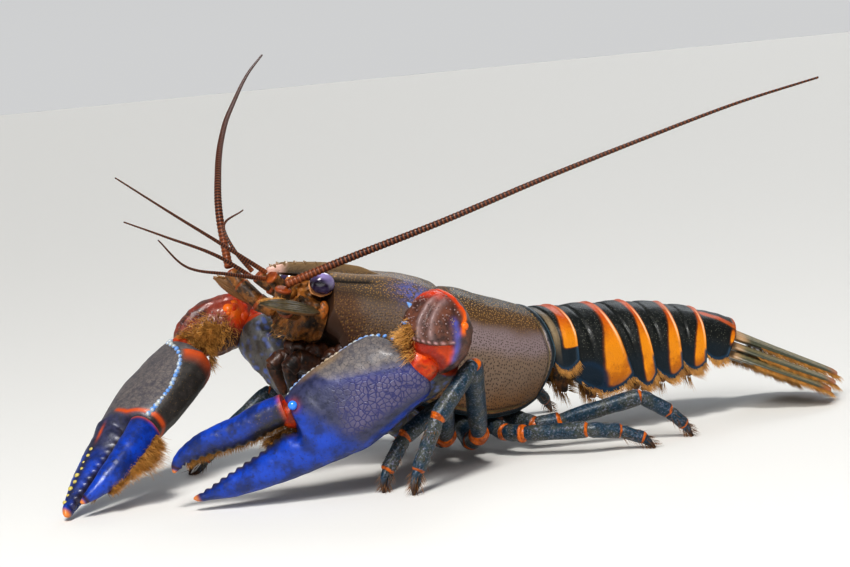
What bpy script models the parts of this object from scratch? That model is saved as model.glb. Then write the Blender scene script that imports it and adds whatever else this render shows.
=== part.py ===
# A freshwater crayfish with blue claws and a banded tail, life size, standing on the floor.
# The head points to -X, the tail to +X, and the animal's left side to -Y.
# All sizes below are in millimetres; points are (x, y, z) unless a note says otherwise.

import math

import bmesh
import bpy
import numpy as np

MM = 0.001
GAP = 0.3                             # clearance between pieces that touch
ORIGIN = (-14.475, 19.949)            # x and y under the middle of the whole animal's box

# Head and chest: u runs forward along the back, v up from it, y to the animal's right.
BACK_TILT = math.radians(15)          # the chest rises towards the head
BACK_START = (0.0, 0.0, 25.3)         # middle of the carapace's rear edge
ROSTRUM_END = 52.1                    # u of the rostrum's tip
FRONT_PLANE = 42.0                    # u of the carapace's flat front, behind the eyes
BACK_LINE = ((-4, 0.2), (0, 0.0), (4.4, 0.4), (10.9, 0.9), (15.5, 1.4), (18.2, 1.3), (21, 1.9),
             (25.8, 2.4), (31.9, 2.1), (39.9, 1.6), (45, 1.2))
HEM_LINE = ((-4, -13.5), (-1, -16.8), (2, -19.0), (5.3, -20.3), (10.4, -21.4), (19, -21.0),
            (26, -19.8), (33, -17.6), (42, -12.5))
HALF_WIDTH = ((-4, 10.4), (0, 11.0), (5, 12.0), (12, 12.5), (18, 12.2), (25, 11.3), (32, 9.9),
              (38, 8.6), (45, 7.6))
GROOVE_TOP, GROOVE_REACH = 18.2, 9.5  # the neck groove's u on the back, and how far it runs forward
WALL_ANGLE = math.radians(128)        # where the side walls end, counted from the back line
HEM_LIP, HEM_RECESS = 1.1, 3.0        # thickness of the hem, and the hollow between the hems

# Underside keel that carries the legs
KEEL_HALF_WIDTH, KEEL_DROP, KEEL_RISE = 5.0, 3.6, 2.6
KEEL_ENDS = (1.5, 36.5)               # u of its ends

# Tail: the back line of the rings, then the stations where one ring ends and the next begins
TAIL_LINE = ((0.4, 25.2), (5.3, 24.6), (10.5, 24.3), (16.7, 23.9), (21.8, 23.5), (26.7, 22.7),
             (31.5, 21.6), (36.2, 20.1), (39.8, 18.6), (44.2, 16.2), (52, 12.0), (60, 8.0))
TAIL_BEND = -0.0042                   # the tail curls to the animal's left, y = bend * x * x
RING_ENDS = (0.8, 6.0, 14.0, 20.7, 28.0, 34.3, 41.6)
RING_HALF_WIDTH = ((0, 9.6), (6, 10.2), (14, 10.5), (20.7, 10.3), (28, 9.7), (34.3, 8.9), (41.6, 7.4))
LOBE_DEPTH = (11.6, 15.9, 15.4, 13.6, 11.4, 8.6)      # how far each ring's side lobes hang down
LOBE_LEAN = (2.6, 0.6, 5.0, 4.9, 4.6, 4.0, 0.0)       # how far each joint shifts back in LEAN_DEPTH
LEAN_DEPTH = 15.0
BELLY_DEPTH = 0.56                    # the belly plate's depth as a share of the ring's side lobe
STEP = 0.945                          # each ring's front end is this much smaller than its rear
FAN_WAY = (0.878, -0.206, -0.432)     # which way the tail fan points
LEAF_LENGTHS = (0.3, 3.4, 8.6, 14.8, 20.6, 24.0)
# leaves beside the middle plate: spread, drop below and shift beside the root, share of the length
LEAF_KINDS = (("inner", 0.14, 2.0, 2.4, 0.92), ("outer", 0.26, 3.7, 3.2, 0.87))

# Joints of the limbs. Walking legs: hip, thigh start, thigh middle, knee, shin joint, ankle, tip.
LEG_THICK = {2: 3.6, 3: 3.7, 4: 3.3, 5: 3.1}
LEG_JOINTS = {
    "leg_2_left": ((-23.5, -5.3, 8.6), (-25.6, -12.5, 5.6), (-27.2, -18.6, 7.0), (-30.2, -23.0, 13.4),
                   (-38.3, -23.2, 9.0), (-42.2, -23.2, 3.8), (-43.4, -23.2, 0.0)),
    "leg_3_left": ((-18.0, -5.3, 7.0), (-20.0, -13.5, 4.4), (-21.6, -21.5, 7.6), (-27.6, -29.8, 20.2),
                   (-35.8, -31.0, 12.6), (-40.0, -30.2, 4.2), (-41.2, -29.9, 0.0)),
    "leg_4_left": ((-12.5, -5.3, 5.9), (-12.0, -11.5, 4.4), (-8.7, -18.0, 4.0), (-2.4, -23.6, 4.5),
                   (3.2, -25.4, 3.6), (6.8, -27.4, 2.0), (8.6, -28.4, 0.0)),
    "leg_5_left": ((-7.5, -5.3, 6.2), (-5.6, -11.0, 4.6), (1.8, -15.6, 5.4), (10.6, -21.8, 8.4),
                   (15.2, -23.4, 5.2), (18.0, -24.0, 2.4), (19.4, -24.4, 0.0)),
    "leg_2_right": ((-23.5, 5.3, 8.6), (-25.0, 12.0, 5.4), (-31.0, 18.5, 8.6), (-41.5, 23.5, 13.5),
                    (-49.6, 25.0, 7.4), (-55.0, 25.8, 2.6), (-58.2, 26.2, 0.0)),
    "leg_3_right": ((-18.0, 5.3, 7.0), (-20.0, 13.5, 4.8), (-21.0, 20.5, 8.0), (-24.6, 27.6, 16.8),
                    (-27.4, 33.4, 9.6), (-30.4, 35.6, 3.6), (-31.6, 36.4, 0.0)),
    "leg_4_right": ((-12.5, 5.3, 5.9), (-11.6, 12.0, 4.4), (-8.4, 18.4, 6.4), (-3.6, 25.4, 12.6),
                    (-0.6, 30.6, 7.8), (1.6, 33.6, 3.0), (2.4, 34.8, 0.0)),
    "leg_5_right": ((-7.5, 5.3, 6.2), (-5.4, 11.4, 4.6), (0.6, 16.0, 6.6), (9.0, 20.4, 11.0),
                    (14.4, 23.0, 6.6), (18.4, 24.8, 2.6), (20.0, 25.6, 0.0)),
}

# Claws: the arm's joints, the middle and half sizes of the wrist block, and the way the hand lies.
ARMS = {
    "left": dict(hip=(-28.0, -5.3, 9.3), elbow=(-31.5, -10.5, 8.2), shoulder=(-37.2, -14.6, 12.0),
                 knuckle=(-31.6, -26.6, 22.6), wrist_block=(-33.9, -29.8, 26.6),
                 block_size=(6.6, 5.6, 6.9), hand_start=(-37.9, -29.6, 21.8),
                 hand_end=(-71.6, -10.2, 0.9), hand_face=(-0.50, -0.85, 0.12), finger_side=(0, 0, 1)),
    "right": dict(hip=(-28.0, 5.3, 9.3), elbow=(-31.5, 9.6, 8.4), shoulder=(-42.4, 9.0, 13.6),
                  knuckle=(-46.0, 19.4, 27.0), wrist_block=(-51.6, 21.6, 26.9),
                  block_size=(8.0, 5.0, 5.0), hand_start=(-57.9, 22.2, 23.0),
                  hand_end=(-91.2, 4.2, 1.0), hand_face=(-0.80, -0.24, 0.54), finger_side=(0, -1, 0)),
}
# along the hand: station, lower edge, upper edge, thickness; across is towards the movable finger
PALM_SHAPE = ((0.0, -3.6, 3.6, 6.4), (1.5, -5.0, 6.2, 7.8), (4.5, -5.9, 8.2, 8.8), (9.0, -6.6, 8.7, 9.2),
              (14.0, -7.1, 8.7, 9.2), (18.5, -6.5, 8.3, 8.8), (21.0, -6.0, 7.5, 8.4), (21.9, -5.9, 6.7, 8.0),
              (22.3, -5.8, 2.9, 7.6), (25.5, -5.2, 2.4, 6.4), (31.0, -4.0, 1.8, 5.2), (37.0, -2.3, 1.7, 3.8),
              (42.0, 0.0, 1.6, 2.4), (44.4, 1.0, 2.0, 1.2))
# the movable finger's middle line, along and across the hand: the left one gapes, the right is nearly shut
FINGER_PATH = {
    "left": ((22.8, 5.9), (27.0, 6.7), (31.0, 7.1), (35.0, 8.0), (39.0, 8.7), (42.5, 8.6), (44.8, 7.2)),
    "right": ((22.8, 5.7), (26.2, 6.1), (29.6, 6.2), (33.0, 6.0), (36.2, 5.4), (39.0, 4.5), (41.4, 3.3)),
}
FINGER_WIDTH = (5.2, 5.2, 4.9, 4.4, 3.5, 2.3, 0.9)
FINGER_THICK = (6.4, 6.0, 5.4, 4.7, 3.7, 2.4, 0.9)
BEAD_COUNT, BEAD_SIZE = 16, 0.55      # tubercles along the hand's upper edge
BEAD_SPAN = (2.0, 20.6)
# how far round from the upper edge towards the outer face the row runs, in degrees, by its place along
BEAD_TURN = {"left": ((2.0, 0), (20.6, 0)), "right": ((2.0, 98), (4.8, 69), (7.2, 49), (9.6, 39), (14.4, 28), (20.6, 27))}
TOOTH_COUNT, TOOTH_SIZE = 6, 0.7      # knobs on both fingers' biting edges
TOOTH_SPAN = (26.0, 41.0)
HINGE_KNOB = (21.0, 5.6, 0.95)        # along and across the hand, and radius, on its outer face
BRUSH_LOCKS = 6                       # locks of bristles below the gape of each claw
BRUSH_SPAN, BRUSH_LENGTH = (22.6, 31.0), 5.5
# spines of the wrist: which way each points, forward, aside (up for the left, down for the right), up
WRIST_SPINES = {
    "left": ((0.45, 0.35, 0.82), (0.80, 0.30, 0.45)),
    "right": ((0.05, 0.98, 0.05), (0.75, 0.55, 0.30)),
}
SPINE_LENGTH = 1.7
SWIMMERET_LENGTH = 7.5

# Feelers
LONG_FEELERS = {
    "antenna_flagellum_left": ((-50.9, -8.4, 36.0), (-43.0, -10.6, 38.4), (-26.0, -20.0, 44.1), (-9.1, -28.0, 50.0),
                               (7.1, -34.0, 54.9), (25.2, -39.0, 59.7), (40.2, -42.0, 62.6)),
    "antenna_flagellum_right": ((-53.3, 9.8, 38.6), (-52.3, 14.0, 47.8), (-48.2, 22.0, 55.5), (-40.1, 36.0, 62.6),
                                (-31.3, 50.0, 67.1), (-20.7, 66.0, 72.0), (-9.6, 82.0, 75.8)),
}
SHORT_FEELERS = {
    "antennule_upper_left": ((-51.9, -2.9, 38.0), (-59.7, -3.6, 43.7), (-69.0, -4.8, 50.2), (-79.0, -6.0, 57.4)),
    "antennule_lower_left": ((-52.1, -2.6, 36.9), (-59.6, -4.4, 38.7), (-68.1, -6.0, 41.2), (-73.3, -8.0, 46.3)),
    "antennule_upper_right": ((-51.9, 2.9, 38.0), (-54.6, 3.6, 42.0), (-55.4, 5.4, 46.0), (-49.8, 9.0, 48.5)),
    "antennule_lower_right": ((-52.1, 2.6, 36.9), (-57.6, 2.6, 41.0), (-67.9, 3.0, 46.1), (-74.6, 3.6, 49.3)),
}
FEELER_ROOT, FEELER_TIP = 1.7, 0.6    # diameters of the two long feelers
SHORT_ROOT, SHORT_TIP = 1.0, 0.55

EYE_PLACE = (44.0, -1.7, 6.2)         # u, v and y of an eye's middle
EYE_SIZE = (2.3, 1.9, 1.9)            # half length, half height, half thickness

# Colours: red, green, blue, then roughness
SHELL_BROWN = (0.16, 0.13, 0.10, 0.38)
HEAD_ORANGE = (0.35, 0.14, 0.04, 0.45)
RING_BLACK = (0.03, 0.05, 0.05, 0.30)
LEG_TEAL = (0.07, 0.12, 0.14, 0.40)
CLAW_BLUE = (0.02, 0.05, 0.40, 0.28)
ARM_GREY = (0.12, 0.12, 0.14, 0.38)
WRIST_RED = (0.42, 0.09, 0.05, 0.35)
FAN_OLIVE = (0.22, 0.18, 0.10, 0.45)
FEELER_BROWN = (0.18, 0.06, 0.03, 0.45)
EYE_VIOLET = (0.07, 0.05, 0.10, 0.12)
KEEL_TAN = (0.24, 0.12, 0.07, 0.55)


def unit(vector):
    vector = np.asarray(vector, float)
    return vector / np.linalg.norm(vector)


def through(stations, values):
    """A smooth function through values at the stations, with no overshoot between them."""
    x = np.asarray(stations, float)
    y = np.asarray(values, float).reshape(len(x), -1)
    step = np.diff(x)[:, None]
    slope = np.diff(y, axis=0) / step
    tangent = np.vstack([slope[:1], (slope[1:] + slope[:-1]) / 2, slope[-1:]])
    turn = np.zeros_like(tangent, bool)
    turn[1:-1] = slope[1:] * slope[:-1] <= 0
    tangent[turn] = 0

    def value(at):
        at = np.asarray(at, float)
        k = np.clip(np.searchsorted(x, at.ravel()) - 1, 0, len(x) - 2)
        h = step[k]
        f = (at.ravel()[:, None] - x[k][:, None]) / h
        low, high = y[k], y[k + 1]
        result = (low * (1 + 2 * f) * (1 - f) ** 2 + tangent[k] * h * f * (1 - f) ** 2
                  + high * f * f * (3 - 2 * f) + tangent[k + 1] * h * f * f * (f - 1))
        return result[:, 0].reshape(at.shape) if y.shape[1] == 1 else result
    return value


def pairs(table):
    return through([row[0] for row in table], [row[1] for row in table])


def smooth_path(points, count):
    """Count points on one smooth curve through the given ones, evenly spread by length."""
    points = np.asarray(points, float)
    lengths = np.r_[0, np.cumsum(np.linalg.norm(np.diff(points, axis=0), axis=1))]
    slope = np.gradient(points, lengths, axis=0)
    at = np.linspace(0, lengths[-1], count)
    k = np.clip(np.searchsorted(lengths, at) - 1, 0, len(points) - 2)
    h = (lengths[k + 1] - lengths[k])[:, None]
    f = (at - lengths[k])[:, None] / h
    return (points[k] * (1 + 2 * f) * (1 - f) ** 2 + slope[k] * h * f * (1 - f) ** 2
            + points[k + 1] * f * f * (3 - 2 * f) + slope[k + 1] * h * f * f * (f - 1))


def material(name, finish):
    made = bpy.data.materials.new(name)
    made.use_nodes = True
    shader = made.node_tree.nodes["Principled BSDF"]
    shader.inputs["Base Color"].default_value = (*finish[:3], 1)
    shader.inputs["Roughness"].default_value = finish[3]
    made.diffuse_color = (*finish[:3], 1)
    return made


def solid(name, rings, finish=None):
    """One closed body through a stack of rings, each a loop of the same even count of points."""
    rings = np.array(rings, float)
    rings[..., 2] = np.maximum(rings[..., 2], 0)
    rows, count = rings.shape[:2]
    half = count // 2
    faces = []
    for row in range(rows - 1):
        for column in range(count):
            a = row * count + column
            b = row * count + (column + 1) % count
            c, d = b + count, a + count
            if column < half:
                faces += [(a, b, c), (a, c, d)]
            else:
                faces += [(a, b, d), (b, c, d)]
    for start, flip in ((0, True), ((rows - 1) * count, False)):
        for column in range(half - 1):
            a, b = start + column, start + column + 1
            c, d = start + count - 2 - column, start + count - 1 - column
            two = [(a, b, d), (b, c, d)] if column < half - 2 else [(a, b, c), (a, c, d)]
            faces += [face[::-1] for face in two] if flip else two
    points = rings.reshape(-1, 3)
    corner = points[np.array(faces)]
    volume = np.einsum("ij,ij->i", corner[:, 0], np.cross(corner[:, 1], corner[:, 2])).sum()
    if volume < 0:
        faces = [face[::-1] for face in faces]
    placed = (points - np.array([ORIGIN[0], ORIGIN[1], 0])) * MM
    mesh = bpy.data.meshes.new(name)
    mesh.from_pydata(placed.tolist(), [], faces)
    mesh.shade_smooth()
    mesh.set_sharp_from_angle(angle=math.radians(40))
    made = bpy.data.objects.new(name, mesh)
    bpy.context.scene.collection.objects.link(made)
    if finish is not None:
        mesh.materials.append(material(name, finish))
    return made


def loop(sides, power):
    """A rounded outline of unit half width and half height; a higher power is squarer."""
    angle = (np.arange(sides) + 0.5) * 2 * math.pi / sides
    across, along = np.cos(angle), np.sin(angle)
    return (np.sign(across) * np.abs(across) ** (2 / power),
            np.sign(along) * np.abs(along) ** (2 / power))


def tube(path, wide, thick, face, first=None, last=None, sides=8, power=2.2):
    """Rings along a path, thick along the face direction and wide across it.

    first and last are the normals of the end planes, where these aren't square to the path.
    """
    path = np.asarray(path, float)
    wide, thick = np.broadcast_to(wide, len(path)), np.broadcast_to(thick, len(path))
    leg = np.diff(path, axis=0)
    leg /= np.linalg.norm(leg, axis=1)[:, None]
    tangent = np.vstack([leg[:1], leg[1:] + leg[:-1], leg[-1:]])
    tangent /= np.linalg.norm(tangent, axis=1)[:, None]
    across, along = loop(sides, power)
    rings = []
    for k, point in enumerate(path):
        up = unit(np.asarray(face, float) - np.dot(face, tangent[k]) * tangent[k])
        side = np.cross(tangent[k], up)
        offset = np.outer(across * wide[k] / 2, side) + np.outer(along * thick[k] / 2, up)
        for at, normal in ((0, first), (len(path) - 1, last)):
            if k == at and normal is not None:
                offset -= np.outer(offset @ unit(normal) / (tangent[k] @ unit(normal)), tangent[k])
        rings.append(point + offset)
    return np.array(rings)


def ball(centre, size, axes=np.eye(3), rows=5, sides=6):
    """Rings of a closed ovoid whose half sizes lie along the three axes."""
    turn = np.linspace(0.12, 0.88, rows) * math.pi
    spin = np.arange(sides) * 2 * math.pi / sides
    x = np.cos(turn)[:, None] * np.ones(sides)
    y = np.sin(turn)[:, None] * np.cos(spin)
    z = np.sin(turn)[:, None] * np.sin(spin)
    return np.asarray(centre, float) + np.stack([x, y, z], axis=2) * np.asarray(size) @ np.asarray(axes)


def fuse(body, extras, solver="EXACT"):
    """Joins the extra solids to the body and keeps the result as one closed surface."""
    group = bpy.data.collections.new(body.name + "_extras")
    for extra in extras:
        bpy.context.scene.collection.objects.unlink(extra)
        group.objects.link(extra)
    joined = body.modifiers.new("union", "BOOLEAN")
    joined.operation = "UNION"
    joined.operand_type = "COLLECTION"
    joined.collection = group
    joined.solver = solver
    result = bpy.data.meshes.new_from_object(body.evaluated_get(bpy.context.evaluated_depsgraph_get()))
    body.modifiers.clear()
    keep_largest(result)
    body.data = result
    for extra in extras:
        bpy.data.objects.remove(extra)
    bpy.data.collections.remove(group)


def keep_largest(mesh):
    """Drops every closed surface of a mesh but the one with the most faces."""
    work = bmesh.new()
    work.from_mesh(mesh)
    waiting, surfaces = set(work.faces), []
    while waiting:
        edge, surface = [waiting.pop()], []
        while edge:
            one = edge.pop()
            surface.append(one)
            near = {other for rim in one.edges for other in rim.link_faces} & waiting
            waiting -= near
            edge += near
        surfaces.append(surface)
    surfaces.sort(key=len)
    for surface in surfaces[:-1]:
        bmesh.ops.delete(work, geom=surface, context="FACES")
    bmesh.ops.triangulate(work, faces=work.faces[:])
    work.to_mesh(mesh)
    work.free()


def head_point(u, v, y):
    """A point of the head and chest: u forward along the back, v up from it."""
    u, v, y = np.broadcast_arrays(np.asarray(u, float), v, y)
    x = BACK_START[0] - u * math.cos(BACK_TILT) + v * math.sin(BACK_TILT)
    z = BACK_START[2] + u * math.sin(BACK_TILT) + v * math.cos(BACK_TILT)
    return np.stack([x, y, z], axis=-1)


FORWARD = head_point(1, 0, 0) - head_point(0, 0, 0)
HEAD_UP = head_point(0, 1, 0) - head_point(0, 0, 0)
back_line, hem_line, half_width = pairs(BACK_LINE), pairs(HEM_LINE), pairs(HALF_WIDTH)


def carapace():
    """A domed shell, open between its hems, with the neck groove and the rostrum."""
    rows, columns = 25, 19
    along = np.linspace(0, 1, rows)[:, None]
    t = np.linspace(-1, 1, columns)[None, :]
    reach = np.abs(t)
    rear = pairs(((0, 0.0), (0.25, -0.5), (0.5, -1.5), (0.75, -2.6), (1, -1.2)))(reach)
    front = pairs(((0, FRONT_PLANE), (0.66, FRONT_PLANE), (0.8, 39.5), (1, 34.0)))(reach)
    u = rear + (front - rear) * along
    angle = reach * WALL_ANGLE
    top, hem = back_line(u), hem_line(u)
    depth = top - hem
    groove = 0.055 * np.exp(-((u - GROOVE_TOP - GROOVE_REACH * reach ** 1.5) / 1.5) ** 2) * (reach < 0.85)
    swell = 1 - groove
    lower = 0.48 / -math.cos(WALL_ANGLE)
    rise = np.where(angle < math.pi / 2, 0.52 * np.cos(angle), lower * np.cos(angle))
    y = half_width(u) * np.sin(angle) * np.sign(t) * swell
    v = top - 0.52 * depth + depth * rise * swell
    v = np.minimum(v, top)
    edge = np.abs(y[:, :1]) - HEM_LIP
    inner_y = edge * np.sign(t) * np.minimum(1, reach / 0.8)
    inner_v = hem + HEM_RECESS * np.minimum(1, (1 - reach) / 0.2)
    outer = head_point(u, v, y)
    inner = head_point(u, inner_v, inner_y)
    shell = solid("carapace", np.concatenate([outer, inner[:, ::-1]], axis=1), SHELL_BROWN)
    fuse(shell, rostrum(), "MANIFOLD")
    return shell


def rostrum():
    """The spear between the eyes, its raised rims with teeth, and the ridges behind the eyes."""
    stations = ((36.0, 3.0), (40.0, 2.9), (43.0, 2.5), (46.0, 2.1), (49.0, 1.6), (51.0, 0.9), (ROSTRUM_END, 0.35))
    u = np.array([row[0] for row in stations])
    half = np.array([row[1] for row in stations])
    top = np.array([1.5, 1.45, 1.2, 0.9, 0.5, -0.1, -0.5])
    rim = top + 0.75 * half / 3
    under = top - np.array([3.0, 2.4, 2.2, 1.9, 1.6, 1.2, 0.7])
    y = np.stack([-half, -0.62 * half, 0 * half, 0.62 * half, half, 0.8 * half, 0 * half, -0.8 * half], axis=1)
    v = np.stack([rim, top - 0.25, top - 0.45, top - 0.25, rim, under + 0.4, under, under + 0.4], axis=1)
    pieces = [solid("spear", head_point(u[:, None], v, y))]
    for side in (-1, 1):
        for k, at in enumerate((43.6, 45.6, 47.5, 49.3, 50.8)):
            edge = np.interp(at, u, half) - 0.15
            height = np.interp(at, u, rim) - 0.25
            path = head_point([at - 0.5, at + 0.35, at + 1.0], [height, height + 0.15, height + 0.4],
                              [side * edge, side * (edge + 0.25), side * (edge + 0.45)])
            pieces.append(solid("tooth", tube(path, [0.9, 0.6, 0.25], [0.9, 0.6, 0.25], HEAD_UP, sides=4)))
        path = head_point([29.0, 33.0, 37.0, 40.6, 42.6], [1.05, 1.0, 0.75, 0.55, 0.6],
                          [side * 4.9, side * 4.8, side * 4.7, side * 4.6, side * 4.7])
        pieces.append(solid("ridge", tube(path, [0.6, 1.1, 1.2, 1.1, 0.4], [0.6, 1.1, 1.2, 1.1, 0.4], HEAD_UP,
                                          sides=6)))
    return pieces


def keel():
    """The chest's underside between the legs."""
    u = np.linspace(*KEEL_ENDS, 8)
    hem = hem_line(u)
    half = np.full_like(u, KEEL_HALF_WIDTH)
    low, high = hem - KEEL_DROP, hem + KEEL_RISE
    low[0], low[-1] = low[0] + 1.2, low[-1] + 0.8
    mid, tall = (low + high) / 2, (high - low) / 2
    y = np.stack([half, 0.7 * half, -0.7 * half, -half, -half, -0.7 * half, 0.7 * half, half], axis=1)
    v = np.stack([mid + 0.62 * tall, high, high, mid + 0.62 * tall,
                  mid - 0.62 * tall, low, low, mid - 0.62 * tall], axis=1)
    solid("chest_underside", head_point(u[:, None], v, y), KEEL_TAN)


def face():
    """The block below the eyes that carries both pairs of feelers."""
    shape = np.array(((0, -1.7), (2.4, -1.8), (2.9, -2.6), (3.0, -4.6), (6.4, -4.9), (6.9, -6.4),
                      (6.3, -9.0), (4.8, -12.0), (0, -12.6)))
    stations = ((FRONT_PLANE + GAP, 1.0, 0.0), (44.4, 1.0, 0.1), (46.0, 0.98, 0.3), (47.4, 0.9, 0.9))
    rings = []
    for u, scale, lift in stations:
        half = shape * (scale, 1) + (0, lift) * (shape[:, 1:] < -5)
        ring = np.vstack([half[1:-1], half[-1:], half[-2:0:-1] * (-1, 1), half[:1]])
        rings.append(head_point(u, ring[:, 1], ring[:, 0]))
    rings = np.roll(np.array(rings), 1, axis=1)
    solid("face", rings, HEAD_ORANGE)


def eyes():
    u, v, y = EYE_PLACE
    for name, side in (("left", -1), ("right", 1)):
        inner, outer = side * (3.0 + GAP), side * (y - EYE_SIZE[2])
        stalk = head_point([u - 0.4, u - 0.2, u], [v - 1.0, v - 0.7, v - 0.2], [inner, (inner + outer) / 2, outer])
        solid("eyestalk_" + name, tube(stalk, [1.5, 1.9, 2.3], [1.4, 1.8, 2.1], HEAD_UP, first=(0, 1, 0),
                                       last=(0, 1, 0)), HEAD_ORANGE)
        axes = (FORWARD, HEAD_UP, (0, side, 0))
        eye = ball(head_point(u, v, side * y), EYE_SIZE, (axes[2], axes[0], axes[1]), rows=7, sides=10)
        flat = head_point(u, v, side * (y - EYE_SIZE[2] + GAP))[1]
        eye[..., 1] = np.maximum(eye[..., 1] * side, flat * side) * side
        solid("eye_" + name, eye, EYE_VIOLET)


def feelers():
    """Peduncles, scales and whips of the long and short feelers."""
    front = 47.4 + GAP
    for name, side in (("left", -1), ("right", 1)):
        path = head_point([front, 49.6, 52.2], [-4.1, -3.4, -1.9], [side * 2.0, side * 2.2, side * 2.7])
        solid("antennule_base_" + name, tube(path, [3.0, 2.9, 2.5], [3.0, 2.8, 2.3], HEAD_UP, first=FORWARD),
              HEAD_ORANGE)
    bases = {"left": head_point([front, 49.8, 51.9, 52.1], [-7.4, -7.0, -5.9, -3.9], [-4.4, -5.6, -7.2, -8.1]),
             "right": head_point([front, 50.0, 52.8, 54.4], [-7.4, -6.4, -3.9, -1.9], [4.4, 5.6, 7.9, 9.4])}
    for name, path in bases.items():
        solid("antenna_base_" + name, tube(path, [3.2, 3.2, 3.0, 2.3], [3.2, 3.2, 3.0, 2.3], HEAD_UP,
                                           first=FORWARD), HEAD_ORANGE)
    scales = {"left": head_point([45.2, 47.6, 51.4, 55.0, 58.4], [-6.6, -6.6, -6.6, -6.7, -6.9],
                                 [-7.2, -9.3, -10.9, -12.0, -12.6]),
              "right": head_point([45.2, 47.4, 50.6, 53.8, 56.6], [-6.6, -6.2, -5.2, -4.0, -3.0],
                                  [7.2, 9.2, 10.8, 11.8, 12.2])}
    for name, path in scales.items():
        way = -1 if name == "left" else 1
        solid("antenna_scale_" + name, tube(path, [2.6, 3.5, 4.0, 3.0, 0.7], [1.3, 1.2, 1.1, 1.0, 0.6],
                                            (0, way * 0.55, 0.8), first=(0, 1, 0), power=2.6), FAN_OLIVE)
    for name, points in LONG_FEELERS.items():
        path = smooth_path(points, 24)
        taper = np.linspace(FEELER_ROOT, FEELER_TIP, 24)
        solid(name, tube(path, taper, taper, (0.3, 0.1, 1), sides=6, power=2), FEELER_BROWN)
    for name, points in SHORT_FEELERS.items():
        path = smooth_path(points, 12)
        taper = np.linspace(SHORT_ROOT, SHORT_TIP, 12)
        solid(name, tube(path, taper, taper, (0.3, 0.1, 1), sides=6, power=2), FEELER_BROWN)


def mouth_legs():
    """The outer pair of mouth legs, folded forward under the face."""
    start = KEEL_ENDS[1] + GAP
    for name, side in (("left", -1), ("right", 1)):
        path = head_point([start, 38.6, 42.0, 45.2, 46.6, 46.4, 44.2], [-17.0, -17.2, -16.4, -15.4, -17.2, -19.6, -21.6],
                          side * np.array([2.6, 3.1, 3.3, 3.2, 3.3, 3.2, 2.6]))
        solid("mouth_leg_" + name, tube(path, [3.0, 4.0, 4.2, 3.4, 3.0, 2.2, 0.8], [3.0, 3.6, 3.6, 3.0, 2.6, 2.0, 0.8],
                                        (0, 1, 0), first=FORWARD), HEAD_ORANGE)


def limb(joints, sizes, flatness, face, first=None, last=None, sides=8, waist=0.74):
    """Rings of a jointed limb: each stretch swells between its joints, where it is narrow."""
    path, wide, thick = [], [], []
    for k in range(len(joints) - 1):
        start, end = np.asarray(joints[k], float), np.asarray(joints[k + 1], float)
        near = min(0.4, 0.62 * sizes[k] / np.linalg.norm(end - start))
        for share, scale in ((0.0, waist), (near, 0.96), (0.5, 1.04), (1 - near, 0.96)):
            size = sizes[k] + (sizes[k + 1] - sizes[k]) * share
            path.append(start + (end - start) * share)
            wide.append(size * scale)
            thick.append(size * scale * flatness)
    path.append(np.asarray(joints[-1], float))
    wide.append(sizes[-1] * (waist if last is None else 1))
    thick.append(sizes[-1] * flatness * (waist if last is None else 1))
    return tube(path, wide, thick, face, first, last, sides)


def legs():
    """Four walking legs a side, each in two nodes that meet at the knee."""
    for name, joints in LEG_JOINTS.items():
        number, side = int(name[4]), -1 if name.endswith("left") else 1
        joints = np.array(joints)
        knee = joints[3]
        cut = unit(unit(joints[3] - joints[2]) + unit(joints[4] - joints[3]))
        face_way = np.cross(joints[4] - joints[3], joints[3] - joints[2])
        thick = LEG_THICK[number]
        hip = joints[0].copy()
        hip[1] = side * (KEEL_HALF_WIDTH + GAP)
        upper = [hip, joints[1], joints[2], knee - cut * GAP / 2]
        lower = [knee + cut * GAP / 2, joints[4], joints[5], joints[6]]
        rings = limb(upper, [thick, thick * 0.95, thick, thick * 0.9], 0.85, face_way, first=(0, 1, 0))
        rings[-1] = end_ring(rings[-2], upper[-1], cut, thick * 0.8, face_way, unit(joints[3] - joints[2]))
        solid(name + "_upper", rings, LEG_TEAL)
        rings = limb(lower, [thick * 0.9, thick * 0.72, thick * 0.5, 0.9], 0.85, face_way, last=(0, 0, 1))
        rings[0] = end_ring(rings[1], lower[0], cut, thick * 0.8, face_way, unit(joints[4] - joints[3]))
        shin = solid(name + "_lower", rings, LEG_TEAL)
        if number < 4:
            fuse(shin, [small_thumb(joints[5], joints[6], face_way)])


def small_thumb(ankle, tip, face_way):
    """The fixed finger beside a pincer leg's last joint."""
    down = tip - ankle
    aside = unit(np.cross(down, face_way)) * 0.75
    path = [ankle - 0.25 * down, ankle + 0.05 * down + aside, ankle + 0.45 * down + aside * 1.4,
            ankle + 0.8 * down + aside * 1.1]
    return solid("thumb", tube(path, [0.9, 1.2, 0.9, 0.35], [0.9, 1.2, 0.9, 0.35], face_way, sides=4))


def end_ring(like, centre, normal, size, face, way):
    """A ring that closes a limb in the plane of a joint, like its neighbour in point order."""
    up = unit(np.asarray(face, float) - np.dot(face, way) * way)
    side = np.cross(way, up)
    across, along = loop(len(like), 2.2)
    offset = np.outer(across * size / 2, side) + np.outer(along * size * 0.85 / 2, up)
    offset -= np.outer(offset @ normal / (way @ normal), way)
    return centre + offset


def claws():
    for name, arm in ARMS.items():
        arm = {key: np.array(value, float) for key, value in arm.items()}
        side = -1 if name == "left" else 1
        hand = unit(arm["hand_end"] - arm["hand_start"])
        face_way = unit(arm["hand_face"] - (arm["hand_face"] @ hand) * hand)
        across = np.cross(face_way, hand)
        across *= np.sign(across @ arm["finger_side"])
        ischium(name, arm, side)
        merus(name, arm)
        wrist(name, arm, hand)
        palm(name, arm, hand, face_way, across)
        finger(name, arm, hand, face_way, across)


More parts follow.
